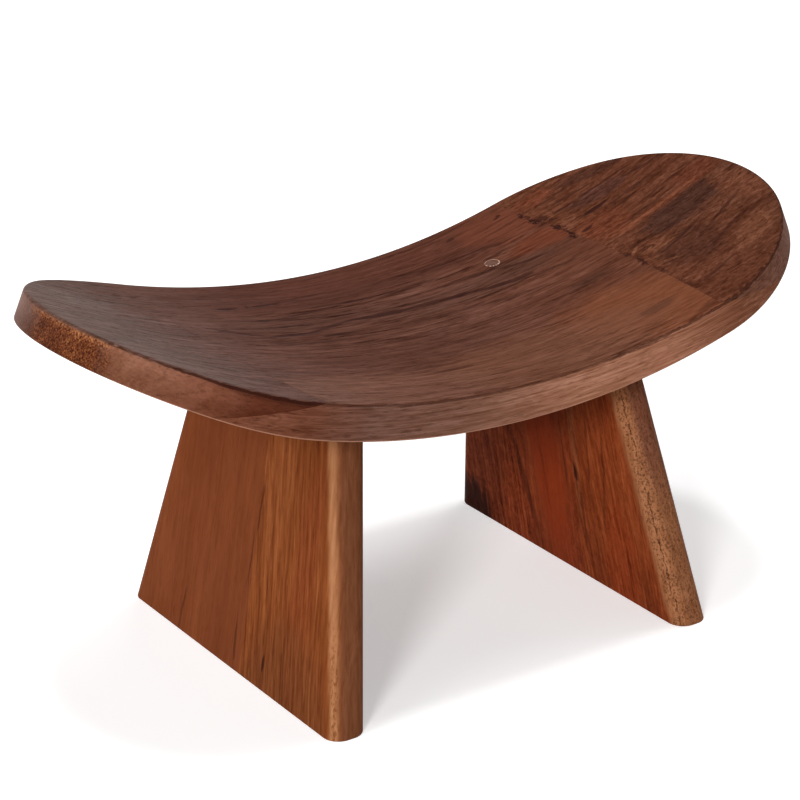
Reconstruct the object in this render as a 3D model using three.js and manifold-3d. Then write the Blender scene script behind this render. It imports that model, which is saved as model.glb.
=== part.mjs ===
// Folding meditation bench: a wooden seat sawn to a curve from a glued stack, on two
// splayed board legs. Each leg hangs on two brass butt hinges, let in between the top
// of the leg and the underside of the seat, and folds outward against the seat's end.
// Millimetres. X runs along the seat, Y from front to back, Z up, and the origin is on
// the floor under the middle of the seat.

import * as THREE from 'three';
import { mergeVertices } from 'three/addons/utils/BufferGeometryUtils.js';
import Module from 'manifold-3d';

const wasm = await Module();
wasm.setup();

// Seat, seen from above
const seatLength = 447; // tip to tip along the top face
const seatDepth = 210;
const endRoundLength = 95; // length of each elliptical end
const seatWaist = 1; // how far each long side draws in at the middle

// Seat, seen from the front
const seatHeight = 170; // top of the seat above the floor, at the middle
const topArcRadius = 455;
const wingStart = 184; // the arc runs out into straight wings here
const seatThickness = 18.3;
const wingThickness = 17.1;
const dishDepth = 2.2; // the long edges stand this much above the middle
const topEdgeRadius = 2;
const bottomEdgeRadius = 1.2;

// Boards that the seat is glued from
const glueLineRise = 20; // the end blocks sit on the core this far above seatHeight
const coreJointY = 56;
const rightBlockJointY = 6;
const leftBlockJointY = -45;

// Round plug let into the top of the core
const plugRadius = 4.5;
const plugDepth = 6;
const plugX = 83;
const plugY = 46;
const plugFit = 0.15;

// Legs
const legThickness = 22.6;
const legSplay = 9.5; // degrees from upright
const footReach = 127.3; // outer edge of each foot from the middle
const footDepth = 214;
const legTopDepth = 136;
const legNoseRadius = 9.5;
const leftLegJointY = -12.5;
const rightLegJointY = -22;
const seatLegGap = 0.3;

// Butt hinges
const hingeLength = 36;
const hingeSpacing = 52; // between the middles of a leg's two hinges
const leafWidth = 16;
const leafThickness = 1.2;
const barrelRadius = 2.5;
const barrelGap = 0.4; // between the barrel and the wood beside it
const knuckleCount = 5;
const knuckleGap = 0.25;
const pinRadius = 1.25;
const pinFit = 0.1;
const mortiseFit = 0.3;

// Countersunk wood screws, two in each leaf
const screwLength = 12;
const screwRadius = 1.3;
const screwHeadRadius = 2.8;
const screwTipLength = 3;
const screwEndInset = 8.5; // from the end of the leaf
const screwFit = 0.12;
const slotWidth = 0.8;
const slotDepth = 0.7;

// Disc magnets that hold each leg open
const magnetRadius = 5;
const magnetThickness = 3;
const magnetSink = 0.2;
const magnetFit = 0.2;

// How finely curves are cut, in steps
const endSteps = 14;
const sideSteps = 20;
const crossSteps = 6;
const topEdgeSteps = 3;
const bottomEdgeSteps = 2;
const noseSteps = 7;
const smallRoundSides = 24;
const screwSides = 16;
const magnetSides = 32;
const halvings = 50; // in the search for where a leg meets the seat

const cutOverrun = 5; // how far a cutter passes the surface that it opens
const roomAround = 2 * seatLength; // size of the blocks that part the boards

// Materials, with colours taken from the photograph
function wood(color) {
  return new THREE.MeshStandardMaterial({ color, roughness: 0.5, metalness: 0 });
}
const coreWood = wood(0x5e382b);
const coreBackWood = wood(0x6b3c2c);
const endWood = wood(0x553327);
const endBackWood = wood(0x64392a);
const plugWood = wood(0x7a5c52);
const leftLegWood = wood(0x7c4322);
const leftLegFrontWood = wood(0x8a4e27);
const rightLegWood = wood(0x74381f);
const rightLegFrontWood = wood(0x6a3520);
const brass = new THREE.MeshStandardMaterial({ color: 0xb08d4a, roughness: 0.35, metalness: 1 });
const steel = new THREE.MeshStandardMaterial({ color: 0x8c8f93, roughness: 0.3, metalness: 1 });
const nickel = new THREE.MeshStandardMaterial({ color: 0xb9bcc0, roughness: 0.25, metalness: 1 });

const bench = new THREE.Group();

// Solids

function toSolid(geometry) {
  const bare = geometry.clone();
  bare.deleteAttribute('normal');
  bare.deleteAttribute('uv');
  const merged = mergeVertices(bare);
  return new wasm.Manifold(new wasm.Mesh({
    numProp: 3,
    vertProperties: new Float32Array(merged.attributes.position.array),
    triVerts: new Uint32Array(merged.index.array),
  }));
}

function toGeometry(solid) {
  const mesh = solid.getMesh();
  const geometry = new THREE.BufferGeometry();
  geometry.setAttribute('position', new THREE.BufferAttribute(mesh.vertProperties, 3));
  geometry.setIndex(new THREE.BufferAttribute(mesh.triVerts, 1));
  geometry.computeVertexNormals();
  return geometry;
}

function indexed(points, triangles) {
  const geometry = new THREE.BufferGeometry();
  geometry.setAttribute('position', new THREE.Float32BufferAttribute(points.flat(), 3));
  geometry.setIndex(triangles.flat());
  return geometry;
}

function cutAll(solid, cutters) {
  return cutters.reduce((rest, cutter) => rest.subtract(cutter), solid);
}

function joinAll(solids) {
  return solids.reduce((whole, piece) => whole.add(piece));
}

// A box between two corners, placed by a matrix if one is given.
function box(low, high, matrix) {
  const geometry = new THREE.BoxGeometry();
  const corners = geometry.attributes.position;
  for (let i = 0; i < corners.count; i++) {
    const corner = [corners.getX(i), corners.getY(i), corners.getZ(i)];
    corners.setXYZ(i, ...corner.map((at, axis) => (at < 0 ? low[axis] : high[axis])));
  }
  if (matrix) geometry.applyMatrix4(matrix);
  return toSolid(geometry);
}

// A solid of revolution about a line along Z, from [radius, height] pairs.
function turned(profile, sides) {
  return new THREE.LatheGeometry(profile.map(([r, z]) => new THREE.Vector2(r, z)), sides)
    .rotateX(Math.PI / 2);
}

// A cylinder along Y.
function roundBar(radius, low, high, x, z) {
  const bar = new THREE.CylinderGeometry(radius, radius, high - low, smallRoundSides);
  return bar.translate(x, (low + high) / 2, z);
}

function addMesh(parent, name, geometry, material) {
  const mesh = new THREE.Mesh(geometry, material);
  mesh.name = name;
  parent.add(mesh);
}

// Seat form

const halfLength = seatLength / 2;
const halfDepth = seatDepth / 2;
const wingAngle = Math.asin(wingStart / topArcRadius);
const arcCentreHeight = seatHeight + topArcRadius;
const glueLineHeight = seatHeight + glueLineRise;

function thicknessAt(angle) {
  const share = (1 - Math.cos(angle)) / (1 - Math.cos(wingAngle));
  return seatThickness + (wingThickness - seatThickness) * share;
}

function dishAt(y) {
  return dishDepth * (y / halfDepth) ** 2;
}

// The point at a depth below the seat's top, at x and y of the flat outline. The depth
// runs square to the curve.
function seatPoint(x, y, depth) {
  const onArc = Math.min(Math.abs(x), wingStart);
  const beyond = Math.abs(x) - onArc;
  const angle = Math.asin(onArc / topArcRadius);
  const down = depth - dishAt(y);
  const out = onArc + beyond + down * Math.sin(angle);
  const arcHeight = arcCentreHeight - Math.sqrt(topArcRadius ** 2 - onArc ** 2);
  return [Math.sign(x) * out, y, arcHeight + beyond * Math.tan(angle) - down * Math.cos(angle)];
}

function fullDepthAt(x, y) {
  const angle = Math.asin(Math.min(Math.abs(x), wingStart) / topArcRadius);
  return thicknessAt(angle) + dishAt(y);
}

// The back half of the outline, from the left tip to the right tip, drawn in by an inset.
function halfOutline(inset) {
  const straight = halfLength - endRoundLength;
  const points = [];
  for (let i = 0; i < endSteps; i++) {
    const turn = (i / endSteps) * (Math.PI / 2);
    points.push([
      -straight - (endRoundLength - inset) * Math.cos(turn),
      (halfDepth - inset) * Math.sin(turn),
    ]);
  }
  for (let i = 0; i <= sideSteps; i++) {
    const share = (2 * i) / sideSteps - 1;
    points.push([straight * share, halfDepth - inset - seatWaist * (1 - share ** 2) ** 2]);
  }
  const mirrored = points.slice(0, endSteps).reverse().map(([x, y]) => [-x, y]);
  return [...points, ...mirrored];
}

// Rings of the rim from the top face to the underside: each has an inset, and its depth
// below the top face or its height above the underside.
function rimRings() {
  const rings = [];
  for (let i = 0; i <= topEdgeSteps; i++) {
    const turn = (i / topEdgeSteps) * (Math.PI / 2);
    const inset = topEdgeRadius * (1 - Math.sin(turn));
    rings.push({ inset, top: topEdgeRadius * (1 - Math.cos(turn)) });
  }
  for (let i = 0; i <= bottomEdgeSteps; i++) {
    const turn = (i / bottomEdgeSteps) * (Math.PI / 2);
    const inset = bottomEdgeRadius * (1 - Math.cos(turn));
    rings.push({ inset, bottom: bottomEdgeRadius * (1 - Math.sin(turn)) });
  }
  return rings;
}

function seatGeometry() {
  const points = [];
  const triangles = [];
  const rings = rimRings();
  const stations = halfOutline(0).length;
  const ringSize = 2 * stations - 2;

  // Ring points run along the back from left to right and return along the front.
  rings.forEach((ring) => {
    const back = halfOutline(ring.inset);
    const front = back.slice(1, -1).reverse().map(([x, y]) => [x, -y]);
    [...back, ...front].forEach(([x, y]) => {
      points.push(seatPoint(x, y, ring.top ?? fullDepthAt(x, y) - ring.bottom));
    });
  });
  for (let r = 0; r < rings.length - 1; r++) {
    for (let i = 0; i < ringSize; i++) {
      const a = r * ringSize + i;
      const b = r * ringSize + ((i + 1) % ringSize);
      triangles.push([a, b, a + ringSize], [b, b + ringSize, a + ringSize]);
    }
  }

  // Each face is a grid of rows across the seat, between the ring's own points.
  function face(ring, ringStart, upward) {
    const rows = [];
    const back = halfOutline(ring.inset);
    for (let s = 0; s < stations; s++) {
      const [x, y] = back[s];
      const row = [];
      const tip = s === 0 || s === stations - 1;
      for (let c = 0; c <= crossSteps; c++) {
        if (c === 0 || tip) row.push(ringStart + s);
        else if (c === crossSteps) row.push(ringStart + ringSize - s);
        else {
          const across = y * (1 - (2 * c) / crossSteps);
          const depth = upward ? ring.top : fullDepthAt(x, across) - ring.bottom;
          row.push(points.length);
          points.push(seatPoint(x, across, depth));
        }
      }
      rows.push(row);
    }
    for (let s = 0; s < stations - 1; s++) {
      for (let c = 0; c < crossSteps; c++) {
        const quad = [rows[s][c], rows[s][c + 1], rows[s + 1][c + 1], rows[s + 1][c]];
        if (!upward) quad.reverse();
        const [p, q, t, u] = quad;
        if (p !== q && q !== t && p !== t) triangles.push([p, q, t]);
        if (p !== t && t !== u && p !== u) triangles.push([p, t, u]);
      }
    }
  }
  face(rings[0], 0, true);
  face(rings[rings.length - 1], (rings.length - 1) * ringSize, false);
  return indexed(points, triangles);
}

// Where the legs meet the seat

const splay = THREE.MathUtils.degToRad(legSplay);

// The underside where the curve has turned through an angle, and its slope there.
function undersideAt(angle) {
  const reach = topArcRadius + thicknessAt(angle);
  const spread = (wingThickness - seatThickness) * Math.sin(angle) / (1 - Math.cos(wingAngle));
  return {
    x: reach * Math.sin(angle),
    z: arcCentreHeight - reach * Math.cos(angle),
    slope: angle + Math.atan2(spread, reach),
  };
}

// The middle of a leg's thickness runs up from the floor and meets the underside at one
// angle of the curve, which halving finds.
function findLegTop() {
  const footMiddle = footReach - legThickness / (2 * Math.cos(splay));
  let low = 0;
  let high = wingAngle;
  for (let i = 0; i < halvings; i++) {
    const middle = (low + high) / 2;
    const { x, z } = undersideAt(middle);
    if (x + z * Math.tan(splay) > footMiddle) high = middle;
    else low = middle;
  }
  return undersideAt(low);
}

const legTop = findLegTop();
const lean = legTop.slope - splay; // the leg leans in from square to the underside
const legFaceX = legThickness / (2 * Math.cos(lean)); // outer face, along the underside
const barrelX = legFaceX + barrelGap + barrelRadius;
const barrelZ = -seatLegGap / 2;

// The frame of a side's hinges: X outward along the underside, Z square to it.
function hingeFrame(side) {
  const turn = new THREE.Matrix4().makeRotationZ(side > 0 ? 0 : Math.PI);
  const place = new THREE.Matrix4().makeTranslation(legTop.x, 0, legTop.z);
  const tilt = new THREE.Matrix4().makeRotationY(-legTop.slope);
  return turn.multiply(place).multiply(tilt);
}

const hingeMiddles = [-hingeSpacing / 2, hingeSpacing / 2];
const screwOffsets = [-1, 1].map((end) => end * (hingeLength / 2 - screwEndInset));
const screwX = legFaceX - leafWidth / 2;
const leafInnerX = legFaceX - leafWidth;

// Screws

const headDepth = screwHeadRadius - screwRadius;

// Head up, with the top of the head at height zero, grown by a fit for its hole.
function screwProfile(fit) {
  return [
    [0, -screwLength - fit],
    [screwRadius + fit, -screwLength + screwTipLength],
    [screwRadius + fit, -headDepth],
    [screwHeadRadius + fit, fit],
    [0, fit],
  ];
}

function screwGeometry() {
  const body = toSolid(turned(screwProfile(0), screwSides));
  const slotReach = screwHeadRadius + cutOverrun;
  const slot = box(
    [-slotWidth / 2, -slotReach, -slotDepth],
    [slotWidth / 2, slotReach, cutOverrun],
  );
  return toGeometry(body.subtract(slot));
}

// A screw's frame in the hinge frame: it points up into the seat or down into the leg.
function screwMatrix(toSeat, y) {
  const matrix = new THREE.Matrix4().makeRotationX(toSeat ? Math.PI : 0);
  return matrix.setPosition(screwX, y, toSeat ? 0 : -seatLegGap);
}

function screwHole(toSeat, y, outerMatrix) {
  const hole = turned(screwProfile(screwFit), screwSides);
  hole.applyMatrix4(screwMatrix(toSeat, y));
  if (outerMatrix) hole.applyMatrix4(outerMatrix);
  return toSolid(hole);
}

// Hinges, in the hinge frame

const knuckleLength = hingeLength / knuckleCount;

// A leaf with its knuckles. The seat's leaf has the first, third and last, and lies above
// the gap; the leg's leaf has those between and lies below it.
function leafGeometry(toSeat, middleY) {
  const low = toSeat ? 0 : -seatLegGap - leafThickness;
  const high = low + leafThickness;
  const startY = middleY - hingeLength / 2;
  const plateEdge = barrelX - barrelRadius - barrelGap;
  const pieces = [box([leafInnerX, startY, low], [plateEdge, startY + hingeLength, high])];
  for (let k = toSeat ? 0 : 1; k < knuckleCount; k += 2) {
    const from = startY + k * knuckleLength + (k > 0 ? knuckleGap / 2 : 0);
    const to = startY + (k + 1) * knuckleLength - (k < knuckleCount - 1 ? knuckleGap / 2 : 0);
    pieces.push(box([plateEdge - leafThickness, from, low], [barrelX, to, high]));
    pieces.push(toSolid(roundBar(barrelRadius, from, to, barrelX, barrelZ)));
  }
  const cutters = [
    toSolid(roundBar(pinRadius + pinFit, startY - cutOverrun, startY + hingeLength + cutOverrun,
      barrelX, barrelZ)),
    ...screwOffsets.map((offset) => screwHole(toSeat, middleY + offset)),
  ];
  return toGeometry(cutAll(joinAll(pieces), cutters));
}

function pinGeometry(middleY) {
  return roundBar(pinRadius, middleY - hingeLength / 2, middleY + hingeLength / 2, barrelX, barrelZ);
}

// Room in the wood for one leaf, its screws and the barrel.
function leafCutters(toSeat, middleY, outerMatrix) {
  const halfRoom = hingeLength / 2 + mortiseFit;
  const floor = toSeat ? leafThickness + mortiseFit : -seatLegGap - leafThickness - mortiseFit;
  const low = toSeat ? -cutOverrun : floor;
  const high = toSeat ? floor : cutOverrun;
  const outerX = toSeat ? barrelX : legFaceX + cutOverrun;
  const cutters = [
    box([leafInnerX - mortiseFit, middleY - halfRoom, low], [outerX, middleY + halfRoom, high],
      outerMatrix),
    ...screwOffsets.map((offset) => screwHole(toSeat, middleY + offset, outerMatrix)),
  ];
  if (toSeat) {
    const groove = roundBar(barrelRadius + barrelGap, middleY - halfRoom, middleY + halfRoom,
      barrelX, barrelZ);
    if (outerMatrix) groove.applyMatrix4(outerMatrix);
    cutters.push(toSolid(groove));
  }
  return cutters;
}

// Magnets, in the hinge frame

function disc(radius, low, high) {
  return turned([[0, low], [radius, low], [radius, high], [0, high]], magnetSides);
}

function magnetGeometry(toSeat) {
  const low = toSeat ? magnetSink : -seatLegGap - magnetSink - magnetThickness;
  return disc(magnetRadius, low, low + magnetThickness);
}

function magnetCutter(toSeat, outerMatrix) {
  const deep = magnetSink + magnetThickness + magnetFit;
  const low = toSeat ? -cutOverrun : -seatLegGap - deep;
  const high = toSeat ? deep : cutOverrun;
  const bore = disc(magnetRadius + magnetFit, low, high);
  if (outerMatrix) bore.applyMatrix4(outerMatrix);
  return toSolid(bore);
}

// Legs, in a frame that stands along the leg with its origin at the leg's top middle

// Corners of the rounded section: which side, which way across, and how far round.
function legSection() {
  const section = [];
  [[1, 1], [-1, 1], [-1, -1], [1, -1]].forEach(([sideX, sideY], quarter) => {
    for (let i = 0; i <= noseSteps; i++) {
      const turn = (quarter + i / noseSteps) * (Math.PI / 2);
      section.push({
        x: sideX * (legThickness / 2 - legNoseRadius) + legNoseRadius * Math.cos(turn),
        inset: legNoseRadius * (1 - Math.abs(Math.sin(turn))),
        sideY,
      });
    }
  });
  return section;
}

function legGeometry() {
  const section = legSection();
  function ringPoint({ x, inset, sideY }, along) {
    const height = legTop.z + x * Math.sin(splay) + along * Math.cos(splay);
    const halfWidth = (footDepth + (legTopDepth - footDepth) * (height / legTop.z)) / 2;
    return [x, sideY * (halfWidth - inset), along];
  }
  const bottom = section.map((corner) => (
    ringPoint(corner, -(legTop.z + corner.x * Math.sin(splay)) / Math.cos(splay))));
  const top = section.map((corner) => (
    ringPoint(corner, (corner.x * Math.sin(lean) - seatLegGap) / Math.cos(lean))));
  const count = section.length;
  const triangles = [];
  for (let i = 0; i < count; i++) {
    const next = (i + 1) % count;
    triangles.push([i, next, count + i], [next, count + next, count + i]);
    if (i > 0 && i < count - 1) {
      triangles.push([0, i + 1, i], [count, count + i, count + i + 1]);
    }
  }
  return indexed([...bottom, ...top], triangles);
}

// Saws a solid across Y into a front and a back board.
function splitAtY(solid, y) {
  const front = box([-roomAround, -roomAround, -roomAround], [roomAround, y, roomAround]);
  const back = box([-roomAround, y, -roomAround], [roomAround, roomAround, roomAround]);
  return { front: solid.intersect(front), back: solid.intersect(back) };
}

// Seat boards

function addSeat() {
  const whole = toSolid(seatGeometry());
  const cutters = [1, -1].flatMap((side) => {
    const frame = hingeFrame(side);
    return [...hingeMiddles.flatMap((y) => leafCutters(true, y, frame)), magnetCutter(true, frame)];
  });
  const far = roomAround;
  const coreRoom = box([-far, -far, -far], [far, far, glueLineHeight]);
  const core = splitAtY(cutAll(whole.intersect(coreRoom), [...cutters, plugBore()]), coreJointY);
  addMesh(bench, 'seat_core_front_board', toGeometry(core.front), coreWood);
  addMesh(bench, 'seat_core_back_board', toGeometry(core.back), coreBackWood);

  const rightRoom = box([0, -far, glueLineHeight], [far, far, far]);
  const right = splitAtY(whole.intersect(rightRoom), rightBlockJointY);
  addMesh(bench, 'right_end_front_block', toGeometry(right.front), endWood);
  addMesh(bench, 'right_end_back_block', toGeometry(right.back), endBackWood);

  const leftRoom = box([-far, -far, glueLineHeight], [0, far, far]);
  const left = splitAtY(whole.intersect(leftRoom), leftBlockJointY);
  addMesh(bench, 'left_end_front_block', toGeometry(left.front), endWood);
  addMesh(bench, 'left_end_back_block', toGeometry(left.back), endBackWood);
}

// The plug stands square to the seat's top, and is planed flush with it.
function plugMatrix() {
  const angle = Math.asin(plugX / topArcRadius);
  return new THREE.Matrix4().makeRotationY(-angle).setPosition(...seatPoint(plugX, plugY, 0));
}

function plugBore() {
  const bore = turned([[0, -plugDepth - plugFit], [plugRadius + plugFit, -plugDepth - plugFit],
    [plugRadius + plugFit, cutOverrun], [0, cutOverrun]], magnetSides);
  return toSolid(bore.applyMatrix4(plugMatrix()));
}

function addPlug() {
  const plug = turned([[0, -plugDepth], [plugRadius, -plugDepth], [plugRadius, 0], [0, 0]],
    magnetSides);
  const mesh = new THREE.Mesh(plug, plugWood);
  mesh.name = 'knot_plug';
  mesh.applyMatrix4(plugMatrix());
  bench.add(mesh);
}

// Each side's leg, hinges, screws and magnets

function addSide(side, sideName, jointY, backWood, frontWood) {
  const frame = new THREE.Group();
  frame.applyMatrix4(hingeFrame(side));
  bench.add(frame);
  const legFrame = new THREE.Group();
  legFrame.rotation.y = lean;
  frame.add(legFrame);

  // The mortises are laid out in the hinge frame, which leans away from the leg's own.
  const intoLeg = new THREE.Matrix4().makeRotationY(-lean);
  const cutters = hingeMiddles.flatMap((y) => leafCutters(false, y, intoLeg));
  const leg = cutAll(toSolid(legGeometry()), [...cutters, magnetCutter(false, intoLeg)]);
  const boards = splitAtY(leg, side * jointY);
  const [front, back] = side > 0 ? [boards.front, boards.back] : [boards.back, boards.front];
  addMesh(legFrame, `${sideName}_leg_front_board`, toGeometry(front), frontWood);
  addMesh(legFrame, `${sideName}_leg_back_board`, toGeometry(back), backWood);

  hingeMiddles.forEach((middleY) => {
    const name = `${sideName}_${side * middleY < 0 ? 'front' : 'back'}_hinge`;
    addMesh(frame, `${name}_seat_leaf`, leafGeometry(true, middleY), brass);
    addMesh(frame, `${name}_leg_leaf`, leafGeometry(false, middleY), brass);
    addMesh(frame, `${name}_pin`, pinGeometry(middleY), steel);
    [true, false].forEach((toSeat) => screwOffsets.forEach((offset, i) => {
      const screw = new THREE.Mesh(screwGeometry(), brass);
      screw.name = `${name}_${toSeat ? 'seat' : 'leg'}_screw_${i + 1}`;
      screw.applyMatrix4(screwMatrix(toSeat, middleY + offset));
      frame.add(screw);
    }));
  });

  addMesh(frame, `${sideName}_seat_magnet`, magnetGeometry(true), nickel);
  addMesh(frame, `${sideName}_leg_magnet`, magnetGeometry(false), nickel);
}

addSeat();
addPlug();
addSide(1, 'right', rightLegJointY, rightLegWood, rightLegFrontWood);
addSide(-1, 'left', leftLegJointY, leftLegWood, leftLegFrontWood);

export default bench;
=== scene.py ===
"""The looks of a folding meditation bench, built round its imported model. Metres, +Z up."""

import math
from types import SimpleNamespace

import bmesh
import bpy
import numpy as np
from mathutils import Matrix, Vector


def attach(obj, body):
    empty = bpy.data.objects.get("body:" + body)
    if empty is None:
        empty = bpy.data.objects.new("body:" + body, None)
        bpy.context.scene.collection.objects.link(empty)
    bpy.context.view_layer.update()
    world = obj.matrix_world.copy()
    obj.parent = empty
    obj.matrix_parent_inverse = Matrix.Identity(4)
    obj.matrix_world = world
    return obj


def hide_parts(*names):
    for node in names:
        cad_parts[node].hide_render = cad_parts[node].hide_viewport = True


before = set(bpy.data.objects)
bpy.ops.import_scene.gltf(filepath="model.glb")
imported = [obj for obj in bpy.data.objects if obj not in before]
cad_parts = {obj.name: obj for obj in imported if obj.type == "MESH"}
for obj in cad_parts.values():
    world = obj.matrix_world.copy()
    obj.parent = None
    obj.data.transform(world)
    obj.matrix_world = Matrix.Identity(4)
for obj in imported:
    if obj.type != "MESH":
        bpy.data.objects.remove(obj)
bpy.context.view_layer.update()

MM = 0.001

# Camera, fitted to the photograph's outline
IMAGE_SIDE_PX = 800
FOCAL_PX = 2644.1
SENSOR_WIDTH = 36  # in millimetres, as a lens is
CAMERA_PLACE = (-771.8 * MM, -1113.5 * MM, 680.7 * MM)
CAMERA_YAW = math.radians(-34.287)
CAMERA_PITCH = math.radians(-22.22)

# Seat form
SEAT_LENGTH = 447 * MM
SEAT_DEPTH = 210 * MM
END_ROUND_LENGTH = 95 * MM
SEAT_WAIST = 1 * MM
SEAT_HEIGHT = 170 * MM
TOP_ARC_RADIUS = 455 * MM
WING_START = 184 * MM
SEAT_THICKNESS = 18.3 * MM
WING_THICKNESS = 17.1 * MM
DISH_DEPTH = 2.2 * MM
TOP_EDGE_RADIUS = 2 * MM
BOTTOM_EDGE_RADIUS = 1.2 * MM

# Boards of the seat
GLUE_LINE_HEIGHT = SEAT_HEIGHT + 20 * MM
CORE_JOINT_Y = 56 * MM
RIGHT_BLOCK_JOINT_Y = 6 * MM
LEFT_BLOCK_JOINT_Y = -45 * MM

# Plug
PLUG_RADIUS = 4.5 * MM
PLUG_DEPTH = 6 * MM
PLUG_X = 83 * MM
PLUG_Y = 46 * MM
PLUG_FIT = 0.15 * MM
PLUG_CHAMFER = 0.2 * MM

# Legs
LEG_THICKNESS = 22.6 * MM
LEG_SPLAY = math.radians(9.5)
FOOT_REACH = 127.3 * MM
FOOT_DEPTH = 214 * MM
LEG_TOP_DEPTH = 136 * MM
LEG_NOSE_RADIUS = 9.5 * MM
LEFT_LEG_JOINT_Y = -12.5 * MM
RIGHT_LEG_JOINT_Y = -22 * MM
SEAT_LEG_GAP = 0.3 * MM
FOOT_CHAMFER = 0.6 * MM

# Hinges
HINGE_LENGTH = 36 * MM
HINGE_SPACING = 52 * MM
LEAF_WIDTH = 16 * MM
LEAF_THICKNESS = 1.2 * MM
LEAF_CHAMFER = 0.2 * MM
BARREL_RADIUS = 2.5 * MM
BARREL_GAP = 0.4 * MM
BARREL_CHAMFER = 0.25 * MM
KNUCKLE_COUNT = 5
KNUCKLE_GAP = 0.25 * MM
PIN_RADIUS = 1.25 * MM
PIN_FIT = 0.1 * MM
PIN_CHAMFER = 0.2 * MM
MORTISE_FIT = 0.3 * MM

# Screws
SCREW_LENGTH = 12 * MM
SCREW_RADIUS = 1.3 * MM
SCREW_HEAD_RADIUS = 2.8 * MM
SCREW_TIP_LENGTH = 3 * MM
SCREW_END_INSET = 8.5 * MM
SCREW_FIT = 0.12 * MM
SLOT_WIDTH = 0.8 * MM
SLOT_DEPTH = 0.7 * MM
SLOT_TURN = math.radians(37)  # from each screw to the next, as a hand leaves them

# Magnets
MAGNET_RADIUS = 5 * MM
MAGNET_THICKNESS = 3 * MM
MAGNET_SINK = 0.2 * MM
MAGNET_FIT = 0.2 * MM
MAGNET_CHAMFER = 0.3 * MM

CUT_OVERRUN = 5 * MM
FAR = 1.0  # past every board

# Stage
FLOOR_HALF = 6.0
FLOOR_GLOW = 0.44
SKY_LEVEL = 0.13
LAMPS = {  # strength, where it shines from, how wide it looks in degrees
    "overhead": (0.85, (0, 0, 1), 8),
    "front_left": (2.05, (-1.7, -1.33, 1), 13),
    "left": (1.05, (-1, 0.15, 0.9), 30),
    "right": (0.9, (1, 0.2, 1.1), 40),
}

# How finely curves are cut, in steps
END_STEPS = 60
SIDE_STEPS = 130
CROSS_STEPS = 60
TOP_EDGE_STEPS = 8
RIM_STEPS = 6
BOTTOM_EDGE_STEPS = 5
NOSE_STEPS = 16
ROUND_SIDES = 48
HALVINGS = 50

SMOOTH_ANGLE = math.radians(32)

HALF_LENGTH = SEAT_LENGTH / 2
HALF_DEPTH = SEAT_DEPTH / 2
STRAIGHT = HALF_LENGTH - END_ROUND_LENGTH
WING_ANGLE = math.asin(WING_START / TOP_ARC_RADIUS)
ARC_CENTRE_HEIGHT = SEAT_HEIGHT + TOP_ARC_RADIUS


# Meshes

def linked(name, data):
    """A new object in the scene."""
    obj = bpy.data.objects.new(name, data)
    bpy.context.scene.collection.objects.link(obj)
    return obj


def new_object(name, points, faces):
    mesh = bpy.data.meshes.new(name)
    mesh.from_pydata([tuple(p) for p in points], [], faces)
    return linked(name, mesh)


def copy_of(obj, name):
    return linked(name, obj.data.copy())


def boolean(obj, tool, operation):
    """Cuts a solid with another, or joins it on."""
    modifier = obj.modifiers.new("boolean", "BOOLEAN")
    modifier.operation = operation
    modifier.solver = "MANIFOLD"
    modifier.object = tool
    graph = bpy.context.evaluated_depsgraph_get()
    mesh = bpy.data.meshes.new_from_object(obj.evaluated_get(graph))
    obj.modifiers.clear()
    obj.data = mesh
    bpy.data.objects.remove(tool)
    return obj


def box(low, high, matrix=None, chamfer=0):
    """A box between two corners, with its edges rounded a little if asked."""
    bm = bmesh.new()
    bmesh.ops.create_cube(bm, size=1)
    for vert in bm.verts:
        vert.co = [low[i] if vert.co[i] < 0 else high[i] for i in range(3)]
    if chamfer:
        bmesh.ops.bevel(bm, geom=bm.edges[:], offset=chamfer, segments=2, affect="EDGES", profile=0.5)
    if matrix:
        bm.transform(matrix)
    mesh = bpy.data.meshes.new("box")
    bm.to_mesh(mesh)
    bm.free()
    return linked("box", mesh)


def wall_faces(ring_count, ring_size):
    """Faces between rings of points that follow one another."""
    faces = []
    for r in range(ring_count - 1):
        for i in range(ring_size):
            a = r * ring_size + i
            b = r * ring_size + (i + 1) % ring_size
            faces.append((a, b, b + ring_size, a + ring_size))
    return faces


def turned(profile, matrix=None):
    """A solid of revolution about Z, from (radius, height) pairs from the bottom to the top."""
    points = []
    rings = []
    for radius, height in profile:
        if radius == 0:
            rings.append([len(points)] * ROUND_SIDES)
            points.append((0, 0, height))
            continue
        rings.append([len(points) + i for i in range(ROUND_SIDES)])
        for i in range(ROUND_SIDES):
            turn = math.tau * i / ROUND_SIDES
            points.append((radius * math.cos(turn), radius * math.sin(turn), height))
    faces = []
    for lower, upper in zip(rings, rings[1:]):
        for i in range(ROUND_SIDES):
            j = (i + 1) % ROUND_SIDES
            faces.append(list(dict.fromkeys([lower[i], lower[j], upper[j], upper[i]])))
    obj = new_object("turned", points, faces)
    if matrix:
        obj.data.transform(matrix)
    return obj


def round_bar(radius, low, high, x, z, chamfer=0, matrix=None):
    """A cylinder along Y between two places."""
    profile = [(0, low), (radius - chamfer, low), (radius, low + chamfer),
               (radius, high - chamfer), (radius - chamfer, high), (0, high)]
    if not chamfer:
        profile = [(0, low), (radius, low), (radius, high), (0, high)]
    place = Matrix.Translation((x, 0, z)) @ Matrix.Rotation(-math.pi / 2, 4, "X")
    return turned(profile, (matrix or Matrix()) @ place)


def smooth(obj):
    """Rounds the shading of curved faces, and leaves real edges sharp."""
    obj.data.shade_smooth()
    obj.data.set_sharp_from_angle(angle=SMOOTH_ANGLE)
    return obj


def dress(obj, name, body, material):
    """Names a finished piece after the part it takes the place of, hides that part, and says what it rides on
    and is made of.
    """
    obj.name = name + "_finish"
    obj.data.name = obj.name
    obj.data.materials.clear()
    obj.data.materials.append(material)
    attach(obj, body)
    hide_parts(name)


# Seat form

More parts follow.
